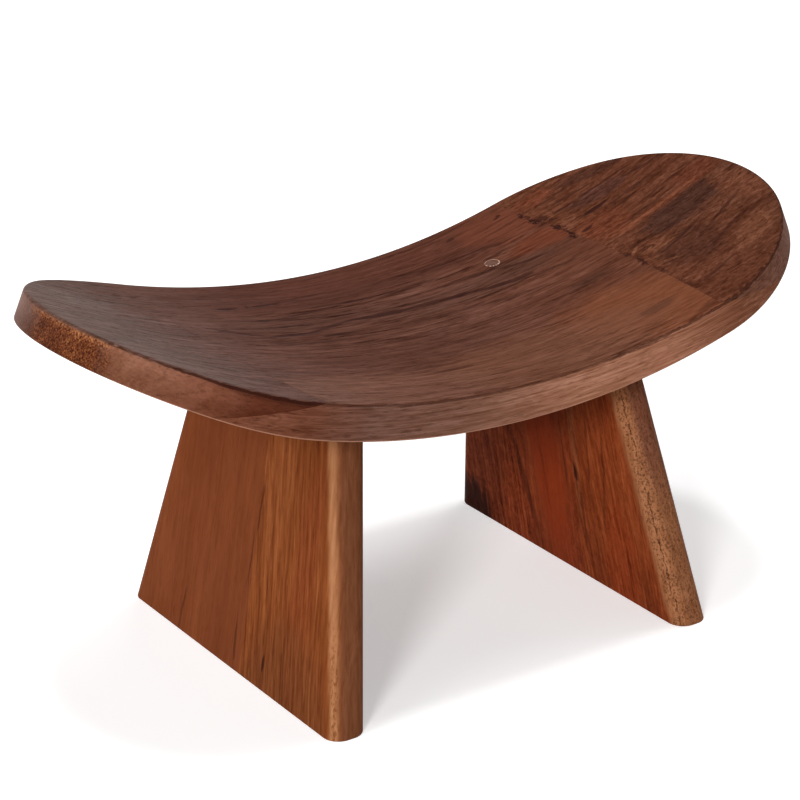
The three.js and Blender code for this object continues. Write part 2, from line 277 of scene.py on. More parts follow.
def thickness_at(angle):
    share = (1 - np.cos(angle)) / (1 - math.cos(WING_ANGLE))
    return SEAT_THICKNESS + (WING_THICKNESS - SEAT_THICKNESS) * share


def dish_at(y):
    return DISH_DEPTH * (y / HALF_DEPTH) ** 2


def seat_points(x, y, depth):
    """Points at a depth below the seat's top, at x and y of the flat outline."""
    on_arc = np.minimum(np.abs(x), WING_START)
    beyond = np.abs(x) - on_arc
    angle = np.arcsin(on_arc / TOP_ARC_RADIUS)
    down = depth - dish_at(y)
    out = on_arc + beyond + down * np.sin(angle)
    height = ARC_CENTRE_HEIGHT - np.sqrt(TOP_ARC_RADIUS ** 2 - on_arc ** 2)
    height = height + beyond * np.tan(angle) - down * np.cos(angle)
    return np.stack([np.sign(x) * out, y, height], axis=-1)


def full_depth(x, y):
    angle = np.arcsin(np.minimum(np.abs(x), WING_START) / TOP_ARC_RADIUS)
    return thickness_at(angle) + dish_at(y)


def half_outline(inset):
    """The back half of the outline, from the left tip to the right tip, drawn in by an inset."""
    turn = np.arange(END_STEPS) / END_STEPS * math.pi / 2
    end = np.stack([STRAIGHT + (END_ROUND_LENGTH - inset) * np.cos(turn),
                    (HALF_DEPTH - inset) * np.sin(turn)], axis=-1)
    share = np.linspace(-1, 1, SIDE_STEPS + 1)
    side = np.stack([STRAIGHT * share, HALF_DEPTH - inset - SEAT_WAIST * (1 - share ** 2) ** 2], axis=-1)
    return np.concatenate([end * (-1, 1), side, end[::-1]])


def rim_rings():
    """Rings of the rim from the top face to the underside: the inset of each, how far it lies from
    the face whose rounded edge it is on, and how far down the rim it is, from 0 to 1."""
    rings = []
    for i in range(TOP_EDGE_STEPS + 1):
        turn = i / TOP_EDGE_STEPS * math.pi / 2
        rings.append((TOP_EDGE_RADIUS * (1 - math.sin(turn)), TOP_EDGE_RADIUS * (1 - math.cos(turn)), 0))
    for i in range(1, RIM_STEPS):
        rings.append((0, 0, i / RIM_STEPS))
    for i in range(BOTTOM_EDGE_STEPS + 1):
        turn = i / BOTTOM_EDGE_STEPS * math.pi / 2
        rings.append((BOTTOM_EDGE_RADIUS * (1 - math.cos(turn)),
                      BOTTOM_EDGE_RADIUS * (1 - math.sin(turn)), 1))
    return rings


def ring_depth(ring, x, y):
    """How far a ring lies below the top: at the top edge, between the edges, or at the bottom one."""
    inset, offset, share = ring
    if share == 0:
        return offset + 0 * x
    if share == 1:
        return full_depth(x, y) - offset
    low = full_depth(x, y) - BOTTOM_EDGE_RADIUS
    return TOP_EDGE_RADIUS + (low - TOP_EDGE_RADIUS) * share


def make_seat():
    """The whole seat as one closed solid, before it is parted into boards."""
    rings = rim_rings()
    stations = len(half_outline(0))
    ring_size = 2 * stations - 2
    points = []
    for ring in rings:
        back = half_outline(ring[0])
        around = np.concatenate([back, back[-2:0:-1] * (1, -1)])
        x, y = around.T
        points.extend(seat_points(x, y, ring_depth(ring, x, y)))
    faces = wall_faces(len(rings), ring_size)

    # Each face is a grid of rows across the seat, between the ring's own points
    for ring, start, upward in ((rings[0], 0, True), (rings[-1], (len(rings) - 1) * ring_size, False)):
        back = half_outline(ring[0])
        rows = []
        for s, (x, y) in enumerate(back):
            if s in (0, stations - 1):
                rows.append([start + s] * (CROSS_STEPS + 1))
                continue
            across = y * (1 - 2 * np.arange(1, CROSS_STEPS) / CROSS_STEPS)
            along = np.full(CROSS_STEPS - 1, x)
            row = list(range(len(points), len(points) + CROSS_STEPS - 1))
            points.extend(seat_points(along, across, ring_depth(ring, along, across)))
            rows.append([start + s, *row, start + ring_size - s])
        for near, far in zip(rows, rows[1:]):
            for c in range(CROSS_STEPS):
                quad = [near[c], near[c + 1], far[c + 1], far[c]]
                corners = list(dict.fromkeys(quad if upward else quad[::-1]))
                if len(corners) > 2:
                    faces.append(corners)
    return new_object("seat", points, faces)


def note_places(obj):
    """Keeps, in millimetres at each vertex, its x and y on the flat outline and its depth below the
    top as place_mm, and how far it is in from the outline as inset_mm."""
    mesh = obj.data
    flat = np.empty(len(mesh.vertices) * 3)
    mesh.vertices.foreach_get("co", flat)
    x, y, z = flat.reshape(-1, 3).T
    reach = np.abs(x)
    angle = np.arctan2(reach, ARC_CENTRE_HEIGHT - z)
    wing_z = ARC_CENTRE_HEIGHT - TOP_ARC_RADIUS * math.cos(WING_ANGLE)
    out, up = reach - WING_START, z - wing_z
    along = out * math.cos(WING_ANGLE) + up * math.sin(WING_ANGLE)
    below = out * math.sin(WING_ANGLE) - up * math.cos(WING_ANGLE)
    on_arc = angle < WING_ANGLE
    plan = np.where(on_arc, TOP_ARC_RADIUS * np.sin(angle), WING_START + along * math.cos(WING_ANGLE))
    down = np.where(on_arc, np.hypot(reach, ARC_CENTRE_HEIGHT - z) - TOP_ARC_RADIUS, below)
    place = np.stack([np.sign(x) * plan, y, down + dish_at(y)], axis=-1) / MM
    round_share = np.hypot(np.maximum(plan - STRAIGHT, 0) / END_ROUND_LENGTH, y / HALF_DEPTH)
    inset = (1 - round_share) * HALF_DEPTH / MM
    mesh.attributes.new("place_mm", "FLOAT_VECTOR", "POINT").data.foreach_set("vector", place.ravel())
    mesh.attributes.new("inset_mm", "FLOAT", "POINT").data.foreach_set("value", inset)


# Where the legs meet the seat

def underside_at(angle):
    """x and height of the underside where the curve has turned through an angle, and its slope."""
    reach = TOP_ARC_RADIUS + float(thickness_at(angle))
    spread = (WING_THICKNESS - SEAT_THICKNESS) * math.sin(angle) / (1 - math.cos(WING_ANGLE))
    slope = angle + math.atan2(spread, reach)
    return reach * math.sin(angle), ARC_CENTRE_HEIGHT - reach * math.cos(angle), slope


def find_leg_top():
    foot_middle = FOOT_REACH - LEG_THICKNESS / (2 * math.cos(LEG_SPLAY))
    low, high = 0, WING_ANGLE
    for _ in range(HALVINGS):
        middle = (low + high) / 2
        x, z, _slope = underside_at(middle)
        if x + z * math.tan(LEG_SPLAY) > foot_middle:
            high = middle
        else:
            low = middle
    return underside_at(low)


LEG_TOP_X, LEG_TOP_Z, LEG_TOP_SLOPE = find_leg_top()
LEAN = LEG_TOP_SLOPE - LEG_SPLAY
LEG_FACE_X = LEG_THICKNESS / (2 * math.cos(LEAN))
BARREL_X = LEG_FACE_X + BARREL_GAP + BARREL_RADIUS
BARREL_Z = -SEAT_LEG_GAP / 2
SCREW_X = LEG_FACE_X - LEAF_WIDTH / 2
LEAF_INNER_X = LEG_FACE_X - LEAF_WIDTH
HINGE_MIDDLES = (-HINGE_SPACING / 2, HINGE_SPACING / 2)
SCREW_OFFSETS = (-(HINGE_LENGTH / 2 - SCREW_END_INSET), HINGE_LENGTH / 2 - SCREW_END_INSET)
HEAD_DEPTH = SCREW_HEAD_RADIUS - SCREW_RADIUS
KNUCKLE_LENGTH = HINGE_LENGTH / KNUCKLE_COUNT


def hinge_frame(side):
    """The frame of a side's hinges: X outward along the underside, Z square to it."""
    turn = Matrix.Rotation(0 if side > 0 else math.pi, 4, "Z")
    place = Matrix.Translation((LEG_TOP_X, 0, LEG_TOP_Z))
    return turn @ place @ Matrix.Rotation(-LEG_TOP_SLOPE, 4, "Y")


def screw_matrix(to_seat, y):
    """A screw's frame in the hinge frame: it points up into the seat or down into the leg."""
    place = Matrix.Translation((SCREW_X, y, 0 if to_seat else -SEAT_LEG_GAP))
    return place @ Matrix.Rotation(math.pi if to_seat else 0, 4, "X")


def screw_profile(fit):
    return [(0, -SCREW_LENGTH - fit), (SCREW_RADIUS + fit, -SCREW_LENGTH + SCREW_TIP_LENGTH),
            (SCREW_RADIUS + fit, -HEAD_DEPTH), (SCREW_HEAD_RADIUS + fit, fit), (0, fit)]


def leaf_cutters(to_seat, middle_y, outer):
    """Room in the wood for one leaf, its screws and the barrel."""
    half_room = HINGE_LENGTH / 2 + MORTISE_FIT
    bed = LEAF_THICKNESS + MORTISE_FIT if to_seat else -SEAT_LEG_GAP - LEAF_THICKNESS - MORTISE_FIT
    low, high = (-CUT_OVERRUN, bed) if to_seat else (bed, CUT_OVERRUN)
    outer_x = BARREL_X if to_seat else LEG_FACE_X + CUT_OVERRUN
    cutters = [box((LEAF_INNER_X - MORTISE_FIT, middle_y - half_room, low),
                   (outer_x, middle_y + half_room, high), outer)]
    for offset in SCREW_OFFSETS:
        cutters.append(turned(screw_profile(SCREW_FIT), outer @ screw_matrix(to_seat, middle_y + offset)))
    if to_seat:
        cutters.append(round_bar(BARREL_RADIUS + BARREL_GAP, middle_y - half_room, middle_y + half_room,
                                 BARREL_X, BARREL_Z, matrix=outer))
    return cutters


def magnet_cutter(to_seat, outer):
    deep = MAGNET_SINK + MAGNET_THICKNESS + MAGNET_FIT
    low, high = (-CUT_OVERRUN, deep) if to_seat else (-SEAT_LEG_GAP - deep, CUT_OVERRUN)
    radius = MAGNET_RADIUS + MAGNET_FIT
    return turned([(0, low), (radius, low), (radius, high), (0, high)], outer)


def make_leg():
    """A leg's whole panel, in a frame that stands along it with its origin at the top middle."""
    section = []
    for quarter, (side_x, side_y) in enumerate(((1, 1), (-1, 1), (-1, -1), (1, -1))):
        for i in range(NOSE_STEPS + 1):
            turn = (quarter + i / NOSE_STEPS) * math.pi / 2
            section.append((side_x, side_y, math.cos(turn), abs(math.sin(turn))))

    def ring(shrink, lift, at_top):
        points = []
        for side_x, side_y, cosine, sine in section:
            radius = LEG_NOSE_RADIUS - shrink
            x = side_x * (LEG_THICKNESS / 2 - LEG_NOSE_RADIUS) + radius * cosine
            if at_top:
                along = (x * math.sin(LEAN) - SEAT_LEG_GAP) / math.cos(LEAN) - lift
            else:
                along = -(LEG_TOP_Z + x * math.sin(LEG_SPLAY)) / math.cos(LEG_SPLAY) + lift
            height = LEG_TOP_Z + x * math.sin(LEG_SPLAY) + along * math.cos(LEG_SPLAY)
            half_width = (FOOT_DEPTH + (LEG_TOP_DEPTH - FOOT_DEPTH) * height / LEG_TOP_Z) / 2
            points.append((x, side_y * (half_width - LEG_NOSE_RADIUS + radius * sine), along))
        return points

    half = math.sqrt(0.5)
    edge = [(FOOT_CHAMFER, 0), (FOOT_CHAMFER * (1 - half), FOOT_CHAMFER * (1 - half)), (0, FOOT_CHAMFER)]
    rings = [ring(shrink, lift, False) for shrink, lift in edge]
    rings += [ring(shrink, lift, True) for shrink, lift in reversed(edge)]
    count = len(section)
    faces = wall_faces(len(rings), count)
    faces.append(tuple(range(count - 1, -1, -1)))
    faces.append(tuple(range((len(rings) - 1) * count, len(rings) * count)))
    return new_object("leg", sum(rings, []), faces)


def kept(obj, x=(-FAR, FAR), y=(-FAR, FAR), z=(-FAR, FAR)):
    """The part of a solid that lies between two places along each axis."""
    return boolean(obj, box(*zip(x, y, z)), "INTERSECT")


def part_at_y(obj, y):
    """Saws a solid across Y into a front and a back board."""
    return kept(copy_of(obj, "front"), y=(-FAR, y)), kept(obj, y=(y, FAR))


# Node graphs

STAIN_GREEN = 1.3  # how much faster than red the other colours fall in darker wood
STAIN_BLUE = 1.6


def paint(red, green, blue):
    """A colour from its values on screen, 0 to 255."""
    shares = [value / 255 for value in (red, green, blue)]
    return tuple(s / 12.92 if s <= 0.04045 else ((s + 0.055) / 1.055) ** 2.4 for s in shares) + (1,)


class Graph:
    """The nodes of a material or of the world, written one expression at a time."""

    def __init__(self, owner):
        self.owner = owner
        owner.use_nodes = True
        self.tree = owner.node_tree
        self.tree.nodes.clear()

    def node(self, kind, inputs=None, **settings):
        """Adds a node, and feeds its inputs with constants or with the outputs of others."""
        node = self.tree.nodes.new("ShaderNode" + kind)
        for key, value in settings.items():
            setattr(node, key, value)
        for key, value in (inputs or {}).items():
            if isinstance(value, bpy.types.NodeSocket):
                self.tree.links.new(value, node.inputs[key])
            else:
                node.inputs[key].default_value = value
        return node

    def math(self, operation, *values, clamp=False):
        node = self.node("Math", dict(enumerate(values)), operation=operation, use_clamp=clamp)
        return node.outputs[0]

    def chain(self, operation, values):
        total = values[0]
        for value in values[1:]:
            total = self.math(operation, total, value)
        return total

    def add(self, *values):
        return self.chain("ADD", values)

    def times(self, *values):
        return self.chain("MULTIPLY", values)

    def swing(self, value, amount):
        """How far a value from 0 to 1 lies from its middle, times an amount."""
        return self.times(self.add(value, -0.5), amount)

    def vector(self, operation, a, b):
        return self.node("VectorMath", {0: a, 1: b}, operation=operation).outputs[0]

    def dot(self, a, b):
        return self.node("VectorMath", {0: a, 1: b}, operation="DOT_PRODUCT").outputs["Value"]

    def combine(self, x, y, z):
        return self.node("CombineXYZ", {"X": x, "Y": y, "Z": z}).outputs[0]

    def separate(self, vector):
        return self.node("SeparateXYZ", {0: vector}).outputs

    def noise(self, vector, size, detail=2.0, roughness=0.5, distortion=0.0):
        """Noise whose spots have about this size in millimetres, each way."""
        node = self.node("TexNoise", {"Vector": self.vector("DIVIDE", vector, size), "Scale": 1,
                                      "Detail": detail, "Roughness": roughness, "Distortion": distortion})
        return node.outputs["Fac"]

    def lines(self, value, width, detail, roughness=0.6):
        """Noise along one line only."""
        node = self.node("TexNoise", {"W": self.times(value, 1 / width), "Scale": 1, "Detail": detail,
                                      "Roughness": roughness}, noise_dimensions="1D")
        return node.outputs["Fac"]

    def dots(self, vector, size):
        """Distance to the nearest of many scattered points, as a share of their spacing each way."""
        node = self.node("TexVoronoi", {"Vector": self.vector("DIVIDE", vector, size), "Scale": 1})
        return node.outputs["Distance"]

    def span(self, value, low, high, to_low=0.0, to_high=1.0, soft=True):
        """Takes low..high of a value to a new span, and holds it at the ends."""
        node = self.node("MapRange", {"Value": value, 1: low, 2: high, 3: to_low, 4: to_high},
                         interpolation_type="SMOOTHSTEP" if soft else "LINEAR")
        return node.outputs[0]

    def mix(self, share, a, b):
        return self.node("Mix", {0: share, 6: a, 7: b}, data_type="RGBA").outputs[2]

    def mix_values(self, share, a, b):
        return self.node("Mix", {0: share, 2: a, 3: b}, data_type="FLOAT").outputs[0]

    def stained(self, colour, value):
        """A colour made lighter or darker by a factor, and redder where it is darker."""
        green = self.math("POWER", value, STAIN_GREEN)
        blue = self.math("POWER", value, STAIN_BLUE)
        return self.vector("MULTIPLY", colour, self.combine(value, green, blue))

    def ramp(self, value, stops):
        """Colours along a value from 0 to 1, each stop a place and a colour as paint takes it."""
        node = self.node("ValToRGB", {"Fac": value})
        elements = node.color_ramp.elements
        while len(elements) < len(stops):
            elements.new(1.0)
        for element, (place, _tint) in zip(elements, stops):
            element.position = place
        for element, (_place, tint) in zip(elements, stops):
            element.color = paint(*tint)
        return node.outputs["Color"]

    def oval(self, place, shape, reach):
        """1 in the middle of an oval on the board, falling to 0 at its edge and at a depth. Its
        shape is x, y, half its length, half its width and its turn in degrees."""
        x, y, half_length, half_width, turn = shape
        mapped = self.node("Mapping", {"Vector": place, "Location": (x, y, 0),
                                       "Rotation": (0, 0, math.radians(turn)),
                                       "Scale": (half_length, half_width, reach)}, vector_type="TEXTURE")
        return self.node("TexGradient", {"Vector": mapped.outputs[0]},
                         gradient_type="SPHERICAL").outputs["Fac"]

    def surface(self, colour, roughness, height, relief, **constants):
        """The finished material, with a bump of a height times a relief."""
        bump = self.node("Bump", {"Height": height, "Distance": relief}).outputs[0]
        inputs = {"Base Color": colour, "Roughness": roughness, "Normal": bump}
        inputs.update({key.replace("_", " "): value for key, value in constants.items()})
        shader = self.node("BsdfPrincipled", inputs)
        self.node("OutputMaterial", {"Surface": shader.outputs[0]})
        return self.owner


def new_graph(name):
    return Graph(bpy.data.materials.new(name))


# Wood, with the lengths of its patterns in millimetres

SEAT_SPECULAR = 0.016
LEG_SPECULAR = 0.005
POLISHED = 0.42  # roughness
DULL = 0.6
POLISH_START = -190  # x, where the left end's polish starts to fade
POLISH_END = -20
SEAT_RELIEF = 0.3 * MM
LEG_RELIEF = 0.12 * MM
PLUG_RELIEF = 0.1 * MM
METAL_RELIEF = 0.03 * MM
SEAT_RING_WIDTH = 6.5
SEAT_RING_TILT = 12
SEAT_SWAY = 22
LEG_RING_TILT = 15
LEG_SWAY = 13
LINE_WIDTH = 2.4
PORE_ROW_WIDTH = 3.1
PORE_SIZE = (8.5, 1.3, 1.3)
STRAND_ROUGHNESS = 0.6
DEPTH_STRETCH = 1.7  # how fast the seat's figure changes with depth, and with height
RISE_SHARE = 0.35
SEED_STEPS = (900, 70)  # along the grain and through it, from one seat board's figure to the next
LEG_SEED_STEP = 500
MARK_REACH = 8  # how deep marks and patches go
PATCH_REACH = 40
MARK_RELIEF = -0.8
CREASE_RELIEF = -1.6
# The rim's painted sheen runs between these depths, lighter above and darker below.
RIM_TOP = 3  # depths between which the rim fades
RIM_BOTTOM = 16
NOSE_END = 12  # how far in from a leg's front edge the tint of the edge reaches
NOSE_STRETCH = 1.6
NOSE_CALM = 0.4
LEFT_TIP = -HALF_LENGTH / MM
RIGHT_TIP = HALF_LENGTH / MM
FACE_LOW = 0.35  # how upright the normal is where the rim turns into the top
FACE_HIGH = 0.85
DARKEST = 0.25
STREAK_PAINT = paint(46, 20, 14)
CREASE_PAINT = paint(50, 22, 15)
# painted highlight along the rounded edge of the underside
EDGE_HIGHLIGHT_PAINT = paint(178, 128, 104)


def coordinates(g):
    """The point in millimetres, and the normal, both as the bench stands unfolded."""
    coords = g.node("TexCoord").outputs
    scaled = g.node("VectorMath", {0: coords["Object"], "Scale": 1 / MM}, operation="SCALE").outputs[0]
    return scaled, coords["Normal"]


def grain(g, along, across, through, ring_tilt, ring_width, sway):
    """The figure of sawn wood, each part a value over the whole board."""
    place = g.combine(along, across, through)

    def strands(length, width, detail, shift=0):
        moved = g.vector("ADD", place, (shift, shift, shift))
        return g.noise(moved, (length, width, width), detail, STRAND_ROUGHNESS)

    tilt = math.radians(ring_tilt)
    ring = g.add(g.times(across, math.cos(tilt)), g.times(through, math.sin(tilt)),
                 g.swing(strands(85, 40, 2), sway), g.swing(strands(28, 9, 1), sway * 0.3))
    pore_rows = g.span(g.lines(ring, PORE_ROW_WIDTH, 1, 0.5), 0.35, 0.62)
    pore_distance = g.dots(place, PORE_SIZE)
    return SimpleNamespace(
        place=place,
        bands=g.lines(ring, ring_width, 3),
        lines=g.lines(ring, LINE_WIDTH, 2),
        blotch=strands(70, 24, 3),
        mottle=strands(26, 8, 4, shift=67),
        curl=g.noise(place, (8, 4.5, 4.5), 4, 0.68, 1.6),
        grit=g.noise(place, (3.4, 2.2, 2.2), 3, 0.7),
        # painted sheen: light streaks along the grain, as where the polish catches the light
        sheen_wisps=g.span(strands(40, 3.4, 3, shift=131), 0.53, 0.66),
        hair=strands(80, 2.6, 2, shift=11),
        fibre=strands(34, 2.0, 3, shift=23),
        strokes=strands(14, 1.8, 3, shift=37),
        streaks=g.span(strands(52, 2.8, 3, shift=53), 0.52, 0.64),
        flecks=g.span(strands(10, 1.5, 2, shift=79), 0.58, 0.70),
        pores=g.span(g.math("SUBTRACT", pore_distance, g.times(pore_rows, 0.3)), -0.02, 0.12, 1, 0),
        rag=g.add(strands(24, 2.6, 4, shift=97), -0.5),
        waver=g.add(strands(14, 5, 2, shift=113), -0.5),
        jag=g.add(g.noise(place, (4, 2.4, 2.4), 3, 0.7), -0.5))


def figured(g, figure, bands, blotch, mottle):
    """How much lighter or darker the broad figure makes each point."""
    return g.add(1, g.swing(figure.bands, bands), g.swing(figure.blotch, blotch),
                 g.swing(figure.mottle, mottle))


def fine_value(g, figure, strength, streaks, flecks, pores, curl=0.0, grit=0.0, sheen_wisps=0.0):
    """How much lighter or darker each point is than the wood round it."""
    value = g.add(1, g.swing(figure.fibre, 1.15 * strength), g.swing(figure.strokes, 0.9 * strength),
                  g.swing(figure.hair, 0.95 * strength), g.swing(figure.lines, 0.6 * strength),
                  g.swing(figure.curl, curl), g.swing(figure.grit, grit), g.times(figure.sheen_wisps, sheen_wisps),
                  g.times(figure.streaks, streaks, -1), g.times(figure.flecks, flecks),
                  g.times(figure.pores, -pores))
    return g.math("MAXIMUM", value, DARKEST)


def calmed(g, value, place, spots):
    """Weakens the fine figure inside soft ovals, each a shape and by how much."""
    for *shape, share in spots:
        oval = g.oval(place, shape, PATCH_REACH)
        value = g.add(1, g.times(g.add(value, -1), g.span(oval, 0, 0.6, 1, 1 - share)))
    return value


def surface_height(g, figure):
    return g.add(g.times(figure.fibre, 0.5), g.times(figure.strokes, 0.3),
                 g.times(figure.streaks, -0.3), g.times(figure.pores, -0.7))


def laid_on(g, colour, place, rag, patches):
    """Lays soft patches of other colours on a board, with ends frayed along the grain, each a
    shape, a colour and a strength."""
    for *shape, tint, strength in patches:
        frayed = g.times(g.oval(place, shape, PATCH_REACH), g.add(1, g.times(rag, 3.2)))
        colour = g.mix(g.span(frayed, 0.06, 0.5, 0, strength), colour, paint(*tint))
    return colour


def darkened(g, colour, height, place, figure, marks, wander, reach):
    """Sinks dark marks into a board, each a shape and a strength. A noise called wander moves
    their outlines, by a reach in x and y."""
    moved = g.vector("ADD", place, g.combine(g.times(wander, reach[0]), g.times(wander, reach[1]), 0))
    dark = 0
    for *shape, strength in marks:
        frayed = g.times(g.oval(moved, shape, MARK_REACH), g.add(1, g.times(figure.rag, 2.4)))
        dark = g.math("MAXIMUM", dark, g.times(g.span(frayed, 0.05, 0.55), strength))
    return g.mix(dark, colour, STREAK_PAINT), g.add(height, g.times(dark, MARK_RELIEF))


def seat_shares(stops):
    """The stops of a ramp along the seat, with each x in millimetres turned to a share of it."""
    return [((x - LEFT_TIP) / (RIGHT_TIP - LEFT_TIP), tint) for x, tint in stops]


def seat_wood(name, top, rim, patches=(), marks=(), chips=(), edges=(), end_grain=None, bands=0.5,
              mottle=1.0, curl=0.0, grit=0.0, sheen_wisps=0.0, strength=1.2, streaks=0.2, flecks=0.2,
              zone=None, calm=(), rim_strength=0.9, rim_sheen=0.0, seed=0):
    """Wood of the seat, with its grain along X. top and rim are the colours along the face and
    along the edge, each an x and a colour. Marks follow the grain, and chips have torn outlines.
    zone is where the face has more streaks: a shape and how much more."""
    g = new_graph(name)
    scaled, normal = coordinates(g)
    x, y, z = g.separate(scaled)
    place = g.node("Attribute", attribute_name="place_mm").outputs["Vector"]
    inset = g.node("Attribute", attribute_name="inset_mm").outputs["Fac"]
    flat_x, _, depth = g.separate(place)
    through = g.add(g.times(depth, -DEPTH_STRETCH), g.times(z, RISE_SHARE), SEED_STEPS[1] * seed)
    figure = grain(g, g.add(x, SEED_STEPS[0] * seed), y, through, SEAT_RING_TILT, SEAT_RING_WIDTH,
                   SEAT_SWAY)
    upright = g.separate(normal)[2]
    on_top = g.span(upright, FACE_LOW, FACE_HIGH)
    along = g.span(flat_x, LEFT_TIP, RIGHT_TIP, soft=False)

    face = g.stained(g.ramp(along, seat_shares(top)), figured(g, figure, bands * 1.3, 0.75, mottle * 0.8))
    face = laid_on(g, face, place, figure.rag, patches)
    if zone:
        *shape, more = zone
        streaks = g.add(streaks, g.span(g.oval(place, shape, PATCH_REACH), 0, 0.5, 0, more))
    fine = fine_value(g, figure, strength, streaks, flecks, 0.15, curl, grit, sheen_wisps)
    face = g.stained(face, calmed(g, fine, place, calm))

    # Painted sheen on the rim: lighter near its top and darker towards the underside, by the rim's sheen
    # amount
    fade = g.span(depth, RIM_TOP, RIM_BOTTOM, 1 + rim_sheen / 2, 1 - rim_sheen / 2)
    side = g.stained(g.ramp(along, seat_shares(rim)),
                     g.add(fade, g.swing(figure.bands, bands), g.swing(figure.blotch, 0.7)))
    side = g.stained(side, fine_value(g, figure, rim_strength, 0.13 * rim_strength,
                                      0.12 * rim_strength, 0.1 * rim_strength))
    colour = g.mix(on_top, side, face)

    # Painted highlight: the rounded edge of the underside is painted light, as where it catches the light
    edge_highlight = g.times(g.span(upright, -0.1, -0.4), g.span(upright, -0.97, -0.75))
    colour = g.mix(g.times(edge_highlight, 0.75), colour, EDGE_HIGHLIGHT_PAINT)

    height = surface_height(g, figure)
    for shapes, wander, reach in ((marks, figure.waver, (14, 5)), (chips, figure.jag, (12, 9))):
        colour, height = darkened(g, colour, height, place, figure, shapes, wander, reach)
    if end_grain:
        colour, height = end_grain(g, colour, height, scaled, place, on_top)
    for edge in edges:
        dark = crease(g, place, inset, *edge)
        colour = g.mix(dark, colour, CREASE_PAINT)
        height = g.add(height, g.times(dark, CREASE_RELIEF))

    # The left end has kept more polish than the middle
    polish = g.span(x, POLISH_START, POLISH_END, POLISHED, DULL)
    roughness = g.add(polish, g.swing(figure.hair, 0.25), g.times(figure.pores, 0.15))
    return g.surface(colour, roughness, height, SEAT_RELIEF, Specular_IOR_Level=SEAT_SPECULAR)


def leg_wood(name, side, tone, patches=(), marks=(), nose=None, lean=0, bands=0.5, mottle=0.0,
             curl=0.0, strength=1.0, streaks=0.1, flecks=0.1, calm=(), ring_width=5, seed=0):
    """Wood of a leg, with its grain up the leg and leaning a few degrees across it. Patches and
    marks are placed by y and height. nose paints its front edge, if it has one."""
    g = new_graph(name)
    scaled, _ = coordinates(g)
    turn = math.radians(lean)
    up = Vector((-side * math.sin(LEG_SPLAY), 0, math.cos(LEG_SPLAY)))
    out = Vector((side * math.cos(LEG_SPLAY), 0, math.sin(LEG_SPLAY)))
    width = Vector((0, 1, 0))
    along = g.add(g.dot(scaled, tuple(up * math.cos(turn) + width * math.sin(turn))), LEG_SEED_STEP * seed)
    across = g.dot(scaled, tuple(width * math.cos(turn) - up * math.sin(turn)))
    through = g.dot(scaled, tuple(out))
    figure = grain(g, along, across, through, LEG_RING_TILT, ring_width, LEG_SWAY)
    _, y, z = g.separate(scaled)
    place = g.combine(y, z, 0)

    colour = g.stained(paint(*tone)[:3], figured(g, figure, bands * 1.6, 0.7, mottle))
    colour = laid_on(g, colour, place, figure.rag, patches)
    fine = calmed(g, fine_value(g, figure, strength, streaks, flecks, 0.1, curl), place, calm)
    if nose:
        middle = LEG_TOP_X * math.cos(LEG_SPLAY) + LEG_TOP_Z * math.sin(LEG_SPLAY)
        left_face = middle - side * LEG_THICKNESS / 2
        beyond = g.times(g.add(through, -left_face / MM), side)
        colour, here = nose(g, colour, from_front_edge(g, y, z), beyond, z, figure)
        fine = g.mix_values(g.times(here, NOSE_CALM), fine, 1)
    colour = g.stained(colour, fine)

    height = surface_height(g, figure)
    colour, height = darkened(g, colour, height, place, figure, marks, figure.waver, (4, 12))
    roughness = g.add(POLISHED, g.swing(figure.hair, 0.22), g.times(figure.pores, 0.15))
    return g.surface(colour, roughness, height, LEG_RELIEF * strength, Specular_IOR_Level=LEG_SPECULAR)


def crease(g, place, inset, start, stop, thickness, strength, rough):
    """A dark crease along the front edge of the top, between two places along the seat."""
    top, fade = 0.8, 8
    x, y, depth = g.separate(place)
    noise = g.noise(place, (5, 5, 1.5), 3, 0.65)
    moved = g.add(depth, g.swing(noise, 0.8 + rough * 5))
    low = g.span(moved, 0.3, top)
    high = g.span(moved, top + thickness * 0.6, top + thickness, 1, 0)
    here = g.times(g.span(x, start - fade, start + fade), g.span(x, stop - fade, stop + fade, 1, 0),
                   g.span(y, -20, -28), g.span(inset, 2.6, 2.0))
    return g.times(low, high, here, strength)


def dotted_end(g, colour, height, scaled, place, on_top):
    """Orange end grain at the left tip, dotted with cut vessels, fading into the smooth rim."""
    _, y, depth = g.separate(place)
    moved = g.add(y, g.swing(g.noise(scaled, (6, 6, 6), 4, 0.6), 26))
    here = g.times(g.span(moved, -60, -36), g.span(moved, 0, 30, 1, 0), g.math("SUBTRACT", 1, on_top))
    spots = g.dots(scaled, (7, 1.4, 1.4))
    grit = g.noise(scaled, (1.2, 1.0, 1.0), 4, 0.75)
    cloud = g.noise(scaled, (9, 9, 9))
    light = g.add(g.span(spots, 0.15, 0.5, -0.24, 0.18), g.swing(grit, 2.3), g.swing(cloud, 0.6),
                  g.span(depth, 1.5, 6, 0.48, 0.21), g.span(y, -30, 14, 0, -0.1))
    tone = g.ramp(light, [(0, (56, 24, 13)), (0.3, (92, 46, 24)), (0.55, (119, 67, 38)),
                          (0.85, (172, 114, 74))])
    return g.mix(here, colour, tone), g.add(height, g.times(g.swing(grit, 1.6), here))


